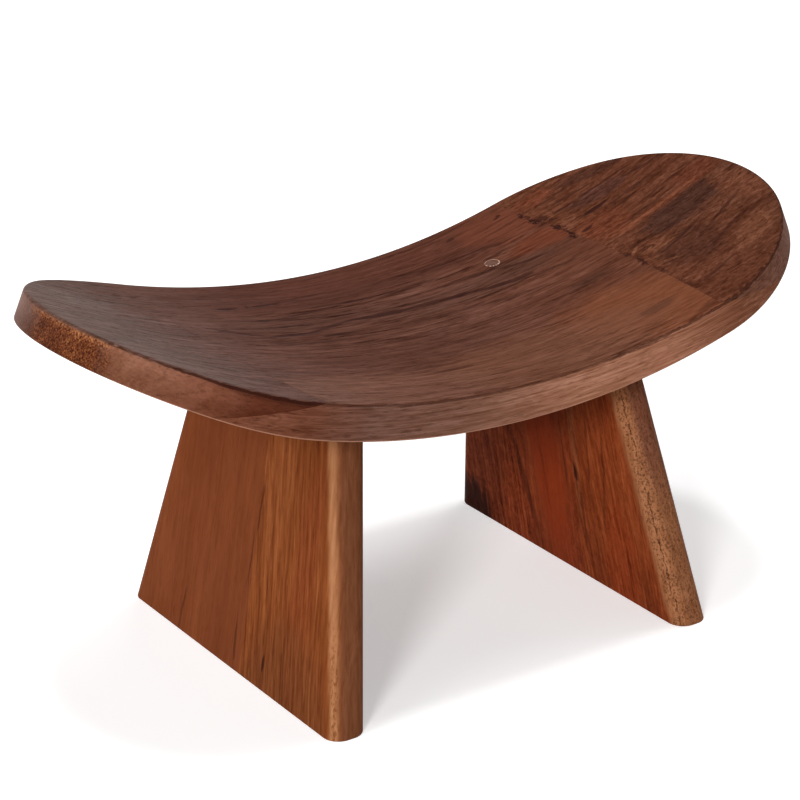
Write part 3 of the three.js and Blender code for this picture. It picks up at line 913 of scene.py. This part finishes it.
CORE_RIM = [(-134, (112, 66, 48)), (-100, (114, 78, 65)), (-40, (122, 83, 67)), (30, (162, 111, 87)),
            (90, (158, 106, 82)), (134, (126, 79, 58))]
TOP_LEFT = [(-224, (90, 62, 51)), (-170, (87, 57, 47)), (-110, (87, 53, 42))]
STREAKED_ZONE = (-5, 30, 135, 56, 0, 0.38)
FAR_JOINT_CHIPS = [
    (127.6, 77, 2.0, 7, 4, 0.95), (128.4, 66, 2.2, 10, 4, 1.0), (131.5, 47, 2.2, 10, 8, 1.0),
    (131.6, 35, 2.0, 9, -6, 1.0), (135, 58, 6, 2.2, -12, 0.9), (133.5, 64, 3, 5, 20, 0.7),
]
NEAR_JOINT_CHIPS = [
    (133.4, -12, 1.5, 7, 6, 0.8), (134, -27, 1.6, 9, -6, 0.85), (133, -44, 1.4, 10, 4, 0.7),
    (131.4, -68, 1.1, 12, 2, 0.5),
]


def core_front_wood():
    return seat_wood(
        "core_front_wood", TOP_LEFT + [(-60, (84, 49, 37)), (20, (89, 54, 42)), (134, (91, 52, 37))],
        CORE_RIM,
        patches=[
            (104, -72, 66, 48, -20, (112, 64, 42), 0.9),
            (30, -78, 100, 44, 0, (108, 68, 50), 0.75),
            (-80, -84, 90, 40, 0, (110, 72, 57), 0.8),
            (120, 44, 34, 14, 0, (98, 50, 33), 0.9),
            (60, 26, 85, 18, 3, (82, 51, 40), 0.8),
            (-40, 34, 90, 18, 0, (80, 49, 39), 0.7),
            (105, -18, 22, 8, 0, (74, 42, 30), 0.8),
            (106, -76, 16, 6, 0, (82, 48, 34), 0.7),
        ],
        marks=[
            (-103, 22, 26, 2.8, -25, 0.65), (-74, 16, 22, 2.6, 8, 0.75), (-45, 23, 26, 2.8, 18, 0.75),
            (-5, 28, 38, 3.4, -3, 0.85), (40, 25, 34, 2.8, -8, 0.75), (72, 19, 24, 2.6, -10, 0.8),
            (-33, 50, 28, 2.4, 9, 0.65), (0, 54, 26, 2.2, 0, 0.65), (32, 53, 30, 2.2, 4, 0.6),
            (64, 40, 30, 2.6, -4, 0.65), (96, 32, 24, 2.4, -14, 0.7), (88, 52, 12, 2.0, 5, 0.7),
            (20, 8, 40, 2.0, -3, 0.5), (60, 2, 34, 1.9, -8, 0.5), (-60, 2, 38, 1.9, 4, 0.45),
            (100, 12, 26, 2.0, -12, 0.5), (-20, -8, 34, 1.6, 0, 0.4), (104, -18, 16, 2.6, -6, 0.35),
            (124, -100, 13, 3.0, 0, 0.4), (112, -103, 9, 2.4, 0, 0.3),
        ],
        chips=NEAR_JOINT_CHIPS + FAR_JOINT_CHIPS[2:4],
        edges=[(-140, 60, 0.9, 0.55, 0.0), (50, 150, 1.3, 0.7, 0.25)],
        zone=STREAKED_ZONE,
        calm=[(110, -64, 60, 44, -20, 0.6), (-40, -70, 150, 50, 0, 0.3), (-150, 40, 90, 50, 0, 0.45),
              (124, 26, 44, 44, 0, 0.5)],
        strength=1.15, streaks=0.18, flecks=0.18)


def core_back_wood():
    return seat_wood(
        "core_back_wood", TOP_LEFT + [(-60, (77, 43, 33)), (20, (80, 46, 35)), (134, (87, 48, 34))],
        CORE_RIM,
        patches=[
            (113, 78, 36, 28, 0, (100, 54, 38), 0.9),
            (20, 84, 90, 20, 0, (88, 48, 36), 0.5),
            (60, 66, 60, 9, 0, (72, 39, 29), 0.6),
        ],
        marks=[
            (-84, 64, 10, 2.3, 8, 0.9), (-58, 67, 15, 1.9, 6, 0.8), (-70, 66, 4, 1.6, 60, 0.6),
            (-30, 72, 24, 1.6, 4, 0.5), (84, 89, 3.4, 2.2, 20, 0.7), (117, 89, 3.2, 2.0, 20, 0.8),
            (70, 66, 30, 1.8, -3, 0.6), (100, 62, 18, 1.7, -4, 0.6), (112, 76, 22, 1.5, 4, 0.35),
            (108, 84, 20, 1.4, 2, 0.3),
        ],
        chips=FAR_JOINT_CHIPS, calm=[(-60, 84, 130, 40, 0, 0.5), (112, 84, 46, 30, 0, 0.6)],
        bands=0.35, strength=1.0, streaks=0.3, flecks=0.14)


def right_front_wood():
    return seat_wood(
        "right_front_wood", [(134, (86, 47, 31)), (RIGHT_TIP, (85, 49, 34))],
        [(LEFT_TIP, (100, 60, 44)), (150, (110, 71, 55)), (RIGHT_TIP, (106, 70, 58))],
        patches=[
            (184, -4, 44, 18, 6, (64, 38, 29), 0.85),
            (158, -40, 26, 26, -20, (70, 39, 27), 0.8),
            (186, -62, 24, 12, 30, (104, 63, 43), 0.7),
            (150, -22, 14, 7, 0, (108, 64, 44), 0.6),
            (210, -18, 12, 34, 0, (100, 58, 40), 0.75),
            (138, -15, 7, 1.5, 35, (122, 78, 56), 0.7),
            (138, -30, 8, 1.4, -25, (118, 76, 54), 0.7),
            (142, -40, 9, 1.4, -30, (112, 70, 50), 0.6),
        ],
        marks=[
            (147, -10, 10, 1.8, 0, 0.7), (166, -26, 24, 1.9, 14, 0.6), (190, -30, 22, 1.8, 18, 0.55),
            (176, -48, 24, 1.8, 16, 0.55), (182, 2, 30, 1.6, 2, 0.5), (150, -74, 16, 1.8, 10, 0.6),
            (172, -12, 22, 1.7, 4, 0.55), (198, -8, 20, 1.6, 8, 0.5),
        ],
        chips=NEAR_JOINT_CHIPS + [(144, -19, 7, 1.8, -20, 0.7)],
        edges=[(122, 186, 1.3, 0.75, 0.9), (180, 224, 0.9, 0.55, 0.6)],
        bands=0.6, curl=1.7, grit=1.6, strength=0.5, streaks=0.1, flecks=0.15, seed=2)


def right_back_wood():
    return seat_wood(
        "right_back_wood", [(134, (91, 51, 34)), (RIGHT_TIP, (83, 45, 30))],
        [(LEFT_TIP, (96, 58, 43)), (RIGHT_TIP, (98, 60, 48))],
        patches=[
            (148, 24, 22, 22, 0, (97, 50, 32), 0.9),
            (137, 46, 11, 8, 30, (102, 60, 42), 0.7),
            (166, 56, 28, 9, -8, (72, 42, 34), 0.8),
            (178, 78, 30, 8, -20, (64, 35, 25), 0.8),
            (206, 16, 18, 12, 0, (94, 49, 33), 0.7),
            (142, 86, 18, 9, 0, (102, 52, 34), 0.7),
            (172, 10, 44, 2.4, 1, (116, 66, 46), 0.8),
        ],
        marks=[
            (156, 44, 15, 2.4, 3, 0.95), (146, 62, 8, 1.7, -8, 0.8), (139.5, 30.5, 5, 1.8, 0, 0.85),
            (160, 70, 22, 1.9, -4, 0.65), (176, 62, 22, 1.9, -6, 0.6), (150, 78, 18, 1.9, 0, 0.6),
            (180, 40, 28, 1.6, 2, 0.55), (190, 24, 30, 1.5, 3, 0.55), (172, 16, 30, 1.4, 2, 0.5),
            (198, 52, 18, 1.8, -10, 0.6), (164, 34, 22, 1.5, 2, 0.5),
        ],
        chips=FAR_JOINT_CHIPS,
        bands=0.6, curl=1.5, grit=1.2, strength=0.75, streaks=0.15, flecks=0.15, seed=3)


def left_back_wood():
    return seat_wood(
        "left_back_wood", TOP_LEFT,
        [(LEFT_TIP, (100, 70, 60)), (-216, (108, 72, 58)), (-195, (122, 80, 62)), (RIGHT_TIP, (112, 74, 58))],
        patches=[(-150, 75, 60, 36, 0, (80, 48, 36), 0.8), (-190, 52, 40, 22, 0, (92, 68, 60), 0.6)],
        marks=[
            (-150, 34, 24, 1.7, 4, 0.45), (-168, 8, 26, 1.6, -6, 0.4), (-180, -20, 28, 1.7, -10, 0.45),
            (-145, -14, 20, 1.6, 4, 0.45), (-190, 30, 24, 1.6, 6, 0.4), (-160, 60, 24, 1.7, 4, 0.5),
        ],
        end_grain=dotted_end, bands=0.35, mottle=1.2, sheen_wisps=0.25, strength=0.8, rim_strength=0.3,
        rim_sheen=0.35)


def left_front_wood():
    return seat_wood(
        "left_front_wood", TOP_LEFT,
        [(LEFT_TIP, (122, 80, 62)), (-205, (120, 77, 58)), (-178, (109, 63, 45)), (-163, (83, 41, 26)),
         (-140, (77, 37, 23)), (RIGHT_TIP, (77, 37, 23))],
        marks=[(-170, -52, 28, 1.8, -12, 0.45), (-150, -70, 24, 1.6, -6, 0.45)],
        edges=[(-222, -190, 0.9, 0.5, 0.4), (-198, -176, 1.0, 0.75, 0.1), (-182, -130, 1.5, 0.9, 0.1),
               (-178, -126, 3.4, 0.35, 0.2), (-134, -112, 0.9, 0.7, 0.1)],
        end_grain=dotted_end, mottle=1.5, sheen_wisps=0.3, strength=0.85, flecks=0.25, rim_strength=0.35,
        rim_sheen=0.35)


def plug_wood():
    """End grain, with a broken painted highlight in a ring near the plug's edge, stronger at the front."""
    g = new_graph("plug_wood")
    scaled, _ = coordinates(g)
    x, y, _ = g.separate(scaled)
    swirl = g.noise(scaled, (3.0, 1.2, 3.0), 3, distortion=0.6)
    colour = g.ramp(swirl, [(0.25, (74, 46, 38)), (0.55, (104, 72, 61)), (0.8, (134, 100, 86))])
    # painted highlight: a broken light ring near the plug's edge, stronger towards the front
    radius = g.math("SQRT", g.add(g.times(x, x), g.times(y, y)))
    broken = g.noise(scaled, (1.5, 1.5, 9))
    front = g.span(y, 1, -3, 0.6, 1)
    ring = g.times(g.span(radius, 3.8, 4.1), g.span(broken, 0.42, 0.54), front)
    colour = g.mix(ring, colour, paint(212, 180, 160))
    return g.surface(colour, g.span(swirl, 0.2, 0.8, POLISHED, DULL), swirl, PLUG_RELIEF,
                     Specular_IOR_Level=SEAT_SPECULAR)


def from_front_edge(g, y, z):
    """How far a point of a leg is in from the leg's front edge."""
    taper = (FOOT_DEPTH - LEG_TOP_DEPTH) / (2 * LEG_TOP_Z)
    return g.add(y, FOOT_DEPTH / (2 * MM), g.times(z, -taper))


def round_nose(g, inward, beyond, wander):
    """How far a point has gone round the front edge, from 0 where the flat left face ends, and
    whether it is on the round edge at all."""
    radius = LEG_NOSE_RADIUS / MM
    around = g.add(radius, g.times(inward, -1), g.times(beyond, NOSE_STRETCH), wander)
    return around, g.span(inward, radius, NOSE_END, 1, 0)


def left_nose(g, colour, inward, beyond, z, figure):
    """The rounded front edge gets a painted highlight on its shoulder, and is painted darker beyond it as
    shade where it turns away from the light.
    """
    around, here = round_nose(g, inward, beyond, g.times(figure.waver, 3))
    # painted highlight on the shoulder of the edge, then painted shade past it
    highlight = g.times(here, g.span(around, 3, 9), g.span(around, 11, 19, 1, 0), 0.8)
    shaded_side = g.times(here, g.span(around, 12, 20), 0.85)
    grit = g.noise(figure.place, (3, 1.2, 1.2), 3, 0.7)
    golden = g.times(highlight, g.span(z, 75, 30), g.span(grit, 0.5, 0.6))
    for share, tint in ((highlight, (174, 120, 82)), (shaded_side, (117, 71, 47)), (golden, (120, 70, 36))):
        colour = g.mix(share, colour, paint(*tint))
    return colour, here


def right_nose(g, colour, inward, beyond, z, figure):
    """The rounded front edge is pale, partly its own paler wood and partly a painted highlight, and is
    painted darker towards its far side as shade, with a torn line of pores along it.
    """
    around, here = round_nose(g, inward, beyond, g.times(figure.waver, 4))
    # pale wood with a painted highlight on it, then painted shade towards the far side of the edge
    pale_and_lit = g.times(here, g.span(around, -2, 5), 0.9)
    shaded_side = g.times(here, g.span(around, 13, 25), 0.85)
    grit = g.noise(figure.place, (1.5, 1.1, 1.1), 3, 0.7)
    specks = g.times(here, g.span(grit, 0.5, 0.4), g.span(around, 2, 6), 0.85)
    line = g.add(around, g.times(figure.jag, 10))
    torn = g.times(here, g.span(line, 10.8, 12), g.span(line, 12.6, 13.8, 1, 0),
                   g.span(figure.strokes, 0.38, 0.5))
    reddish = g.mix(g.span(z, 60, 110), paint(138, 88, 58), paint(116, 70, 54))
    colour = g.mix(pale_and_lit, colour, paint(163, 109, 74))
    colour = g.mix(shaded_side, colour, reddish)
    colour = g.mix(specks, colour, paint(96, 58, 38))
    return g.mix(g.times(torn, 0.7), colour, STREAK_PAINT), here


def left_leg_back_wood():
    return leg_wood(
        "left_leg_back_wood", -1, (116, 60, 32),
        patches=[(0, 30, 50, 34, 0, (116, 61, 36), 0.4)],
        marks=[(-5.5, 16, 1.6, 22, -4, 0.5), (51, 12, 1.8, 24, 8, 0.4), (-10.6, 66, 1.2, 22, 0, 0.5)],
        strength=0.22, streaks=0.02, flecks=0.02, bands=0.15)


def left_leg_front_wood():
    return leg_wood(
        "left_leg_front_wood", -1, (123, 65, 32),
        patches=[(-62, 60, 14, 110, 0, (120, 58, 30), 0.6), (-30, 90, 16, 90, 4, (130, 71, 36), 0.5),
                 (-56, 0, 50, 60, 0, (110, 60, 32), 0.8)],
        marks=[(-34, 16, 1.8, 8, 0, 0.8), (-13.4, 92, 1.2, 30, 3, 0.5)],
        nose=left_nose, strength=0.95, streaks=0.08, lean=8, ring_width=3.6, seed=1)


RIGHT_LEG_TOP_SHADE = (5, 106, 95, 22, -28, (84, 37, 19), 0.25)


def right_leg_back_wood():
    return leg_wood(
        "right_leg_back_wood", 1, (130, 57, 29),
        patches=[(74, 70, 34, 130, 0, (112, 50, 28), 0.7), (4, 66, 20, 90, -6, (146, 57, 27), 0.8),
                 (92, 6, 30, 26, 0, (40, 18, 13), 0.85), RIGHT_LEG_TOP_SHADE],
        marks=[(29, 42, 4.0, 50, -14, 0.5), (-14, 80, 1.4, 30, 0, 0.4), (8, 60, 1.4, 44, -4, 0.3)],
        calm=[(4, 66, 34, 110, 0, 0.75)], curl=2.0, strength=0.9, streaks=0.2, flecks=0.2, mottle=0.9,
        ring_width=6, seed=2)


def right_leg_front_wood():
    return leg_wood(
        "right_leg_front_wood", 1, (137, 64, 32),
        patches=[(-24, 90, 6, 70, 0, (140, 76, 46), 0.7), (-60, 20, 20, 60, 0, (146, 62, 30), 0.7),
                 RIGHT_LEG_TOP_SHADE],
        marks=[(-24, 70, 2.4, 7, 0, 0.9), (-27, 40, 1.6, 30, 0, 0.5), (-50, 70, 1.5, 50, 6, 0.4),
               (-38, 90, 1.4, 40, 4, 0.4)],
        nose=right_nose, curl=1.1, strength=0.85, streaks=0.2, flecks=0.15, bands=0.6, mottle=0.8,
        lean=6, seed=3)


# Metals

def brushed(name, dark, light, rough, stroke):
    """Metal with fine strokes one way, dulled in soft patches."""
    g = new_graph(name)
    scaled, _ = coordinates(g)
    strokes = g.noise(scaled, stroke, 3, 0.6)
    tarnish = g.noise(scaled, (7, 7, 7), 3, 0.6)
    level = g.add(0.9, g.times(strokes, 0.2))
    colour = g.mix(g.span(tarnish, 0.35, 0.68), paint(*light), paint(*dark))
    colour = g.vector("MULTIPLY", colour, g.combine(level, level, level))
    roughness = g.add(rough, g.swing(strokes, 0.22), g.swing(tarnish, 0.2))
    return g.surface(colour, roughness, strokes, METAL_RELIEF, Metallic=1.0)


MATERIALS = {
    "brass": brushed("brass", (150, 112, 52), (190, 156, 90), 0.36, (0.5, 9, 0.5)),
    "steel": brushed("steel", (128, 130, 134), (168, 170, 174), 0.34, (0.5, 0.12, 0.5)),
    "magnet": brushed("nickel", (160, 162, 166), (204, 206, 210), 0.26, (1.2, 0.3, 1.2)),
}


# Pieces

def build_seat():
    whole = make_seat()
    core = kept(copy_of(whole, "core"), z=(-FAR, GLUE_LINE_HEIGHT))
    for side in (1, -1):
        outer = hinge_frame(side)
        for middle_y in HINGE_MIDDLES:
            for cutter in leaf_cutters(True, middle_y, outer):
                boolean(core, cutter, "DIFFERENCE")
        boolean(core, magnet_cutter(True, outer), "DIFFERENCE")
    bore = PLUG_RADIUS + PLUG_FIT
    deep = -PLUG_DEPTH - PLUG_FIT
    boolean(core, turned([(0, deep), (bore, deep), (bore, CUT_OVERRUN), (0, CUT_OVERRUN)], plug_matrix()),
            "DIFFERENCE")
    right = kept(copy_of(whole, "right"), x=(0, FAR), z=(GLUE_LINE_HEIGHT, FAR))
    left = kept(whole, x=(-FAR, 0), z=(GLUE_LINE_HEIGHT, FAR))

    blocks = (
        ("seat_core_{}_board", "core_wood", core, CORE_JOINT_Y, (core_front_wood, core_back_wood)),
        ("right_end_{}_block", "end_wood", right, RIGHT_BLOCK_JOINT_Y, (right_front_wood, right_back_wood)),
        ("left_end_{}_block", "end_wood", left, LEFT_BLOCK_JOINT_Y, (left_front_wood, left_back_wood)),
    )
    for name, slot, block, joint_y, woods in blocks:
        for board, place, wood in zip(part_at_y(block, joint_y), ("front", "back"), woods):
            note_places(board)
            dress(smooth(board), name.format(place), "seat", wood())


def plug_matrix():
    """The plug stands square to the seat's top."""
    place = seat_points(np.array(PLUG_X), np.array(PLUG_Y), 0)
    return Matrix.Translation(tuple(place)) @ Matrix.Rotation(-math.asin(PLUG_X / TOP_ARC_RADIUS), 4, "Y")


def build_plug():
    rim = PLUG_RADIUS - PLUG_CHAMFER
    plug = turned([(0, -PLUG_DEPTH), (rim, -PLUG_DEPTH), (PLUG_RADIUS, -PLUG_DEPTH + PLUG_CHAMFER),
                   (PLUG_RADIUS, -PLUG_CHAMFER), (rim, 0), (0, 0)])
    plug.matrix_world = plug_matrix()
    dress(smooth(plug), "knot_plug", "seat", plug_wood())


def build_leg(side, side_name, joint_y, woods):
    outer = hinge_frame(side)
    leg = make_leg()
    leg.data.transform(outer @ Matrix.Rotation(LEAN, 4, "Y"))
    for middle_y in HINGE_MIDDLES:
        for cutter in leaf_cutters(False, middle_y, outer):
            boolean(leg, cutter, "DIFFERENCE")
    boolean(leg, magnet_cutter(False, outer), "DIFFERENCE")
    for board, place, wood in zip(part_at_y(leg, joint_y), ("front", "back"), woods):
        dress(smooth(board), f"{side_name}_leg_{place}_board", f"{side_name}_leg", wood())


def make_leaf(to_seat, middle_y):
    """A leaf with its knuckles: first, third and last on the seat's leaf, the others on the leg's."""
    low = 0 if to_seat else -SEAT_LEG_GAP - LEAF_THICKNESS
    high = low + LEAF_THICKNESS
    start = middle_y - HINGE_LENGTH / 2
    plate_edge = BARREL_X - BARREL_RADIUS - BARREL_GAP
    leaf = box((LEAF_INNER_X, start, low), (plate_edge, start + HINGE_LENGTH, high), chamfer=LEAF_CHAMFER)
    for k in range(0 if to_seat else 1, KNUCKLE_COUNT, 2):
        begin = start + k * KNUCKLE_LENGTH + (KNUCKLE_GAP / 2 if k > 0 else 0)
        end = start + (k + 1) * KNUCKLE_LENGTH - (KNUCKLE_GAP / 2 if k < KNUCKLE_COUNT - 1 else 0)
        boolean(leaf, box((plate_edge - LEAF_THICKNESS, begin, low), (BARREL_X, end, high)), "UNION")
        boolean(leaf, round_bar(BARREL_RADIUS, begin, end, BARREL_X, BARREL_Z, BARREL_CHAMFER), "UNION")
    boolean(leaf, round_bar(PIN_RADIUS + PIN_FIT, start - CUT_OVERRUN, start + HINGE_LENGTH + CUT_OVERRUN,
                            BARREL_X, BARREL_Z), "DIFFERENCE")
    for offset in SCREW_OFFSETS:
        hole = turned(screw_profile(SCREW_FIT), screw_matrix(to_seat, middle_y + offset))
        boolean(leaf, hole, "DIFFERENCE")
    return smooth(leaf)


def make_screw():
    screw = turned(screw_profile(0))
    reach = SCREW_HEAD_RADIUS + CUT_OVERRUN
    slot = box((-SLOT_WIDTH / 2, -reach, -SLOT_DEPTH), (SLOT_WIDTH / 2, reach, CUT_OVERRUN))
    return smooth(boolean(screw, slot, "DIFFERENCE"))


def make_magnet(to_seat):
    low = MAGNET_SINK if to_seat else -SEAT_LEG_GAP - MAGNET_SINK - MAGNET_THICKNESS
    high = low + MAGNET_THICKNESS
    rim = MAGNET_RADIUS - MAGNET_CHAMFER
    return smooth(turned([(0, low), (rim, low), (MAGNET_RADIUS, low + MAGNET_CHAMFER),
                          (MAGNET_RADIUS, high - MAGNET_CHAMFER), (rim, high), (0, high)]))


def build_hinges(side, side_name):
    outer = hinge_frame(side)
    halves = ((True, "seat", "seat"), (False, "leg", f"{side_name}_leg"))
    screw = make_screw()
    turn = 0
    for middle_y in HINGE_MIDDLES:
        name = f"{side_name}_{'front' if side * middle_y < 0 else 'back'}_hinge"
        pin = round_bar(PIN_RADIUS, middle_y - HINGE_LENGTH / 2, middle_y + HINGE_LENGTH / 2,
                        BARREL_X, BARREL_Z, PIN_CHAMFER)
        pin.matrix_world = outer
        dress(smooth(pin), f"{name}_pin", "seat", MATERIALS["steel"])
        for to_seat, part, body in halves:
            leaf = make_leaf(to_seat, middle_y)
            leaf.matrix_world = outer
            dress(leaf, f"{name}_{part}_leaf", body, MATERIALS["brass"])
            for number, offset in enumerate(SCREW_OFFSETS, 1):
                turn += SLOT_TURN
                twin = copy_of(screw, "screw")
                twin.matrix_world = (outer @ screw_matrix(to_seat, middle_y + offset)
                                     @ Matrix.Rotation(turn, 4, "Z"))
                dress(twin, f"{name}_{part}_screw_{number}", body, MATERIALS["brass"])
    bpy.data.objects.remove(screw)
    for to_seat, part, body in halves:
        magnet = make_magnet(to_seat)
        magnet.matrix_world = outer
        dress(magnet, f"{side_name}_{part}_magnet", body, MATERIALS["magnet"])


# Stage

def build_floor():
    corners = [(-FLOOR_HALF, -FLOOR_HALF, 0), (FLOOR_HALF, -FLOOR_HALF, 0),
               (FLOOR_HALF, FLOOR_HALF, 0), (-FLOOR_HALF, FLOOR_HALF, 0)]
    floor = new_object("floor", corners, [(0, 1, 2, 3)])
    g = new_graph("floor_paint")
    ray = g.node("LightPath").outputs
    seen = g.math("ADD", ray["Is Camera Ray"], ray["Is Glossy Ray"], clamp=True)
    diffuse = g.node("BsdfDiffuse", {"Color": paint(236, 236, 236)})
    glow = g.node("Emission", {"Color": (1, 1, 1, 1), "Strength": g.times(seen, FLOOR_GLOW)})
    both = g.node("AddShader", {0: diffuse.outputs[0], 1: glow.outputs[0]})
    g.node("OutputMaterial", {"Surface": both.outputs[0]})
    floor.data.materials.append(g.owner)


def build_light():
    g = Graph(bpy.data.worlds.new("studio"))
    bpy.context.scene.world = g.owner
    ray = g.node("LightPath").outputs
    seen = g.math("MAXIMUM", ray["Is Camera Ray"], ray["Is Glossy Ray"])
    seen = g.math("MAXIMUM", seen, ray["Is Transmission Ray"])
    level = g.span(seen, 0, 1, SKY_LEVEL, 1, soft=False)
    sky = g.node("Background", {"Color": (1, 1, 1, 1), "Strength": level})
    g.node("OutputWorld", {"Surface": sky.outputs[0]})

    for name, (strength, source, width) in LAMPS.items():
        lamp = bpy.data.lights.new(name, "SUN")
        lamp.energy = strength
        lamp.angle = math.radians(width)
        linked(name, lamp).rotation_euler = Vector(source).to_track_quat("Z", "Y").to_euler()


def build_camera():
    lens = bpy.data.cameras.new("camera")
    lens.sensor_width = SENSOR_WIDTH
    lens.lens = SENSOR_WIDTH * FOCAL_PX / IMAGE_SIDE_PX
    camera = linked("camera", lens)
    camera.location = CAMERA_PLACE
    camera.rotation_euler = (math.pi / 2 + CAMERA_PITCH, 0, CAMERA_YAW)
    bpy.context.scene.camera = camera


bpy.context.scene.view_settings.view_transform = "Standard"
build_camera()
build_seat()
build_plug()
build_leg(1, "right", RIGHT_LEG_JOINT_Y, (right_leg_front_wood, right_leg_back_wood))
build_leg(-1, "left", LEFT_LEG_JOINT_Y, (left_leg_front_wood, left_leg_back_wood))
build_hinges(1, "right")
build_hinges(-1, "left")
build_floor()
build_light()
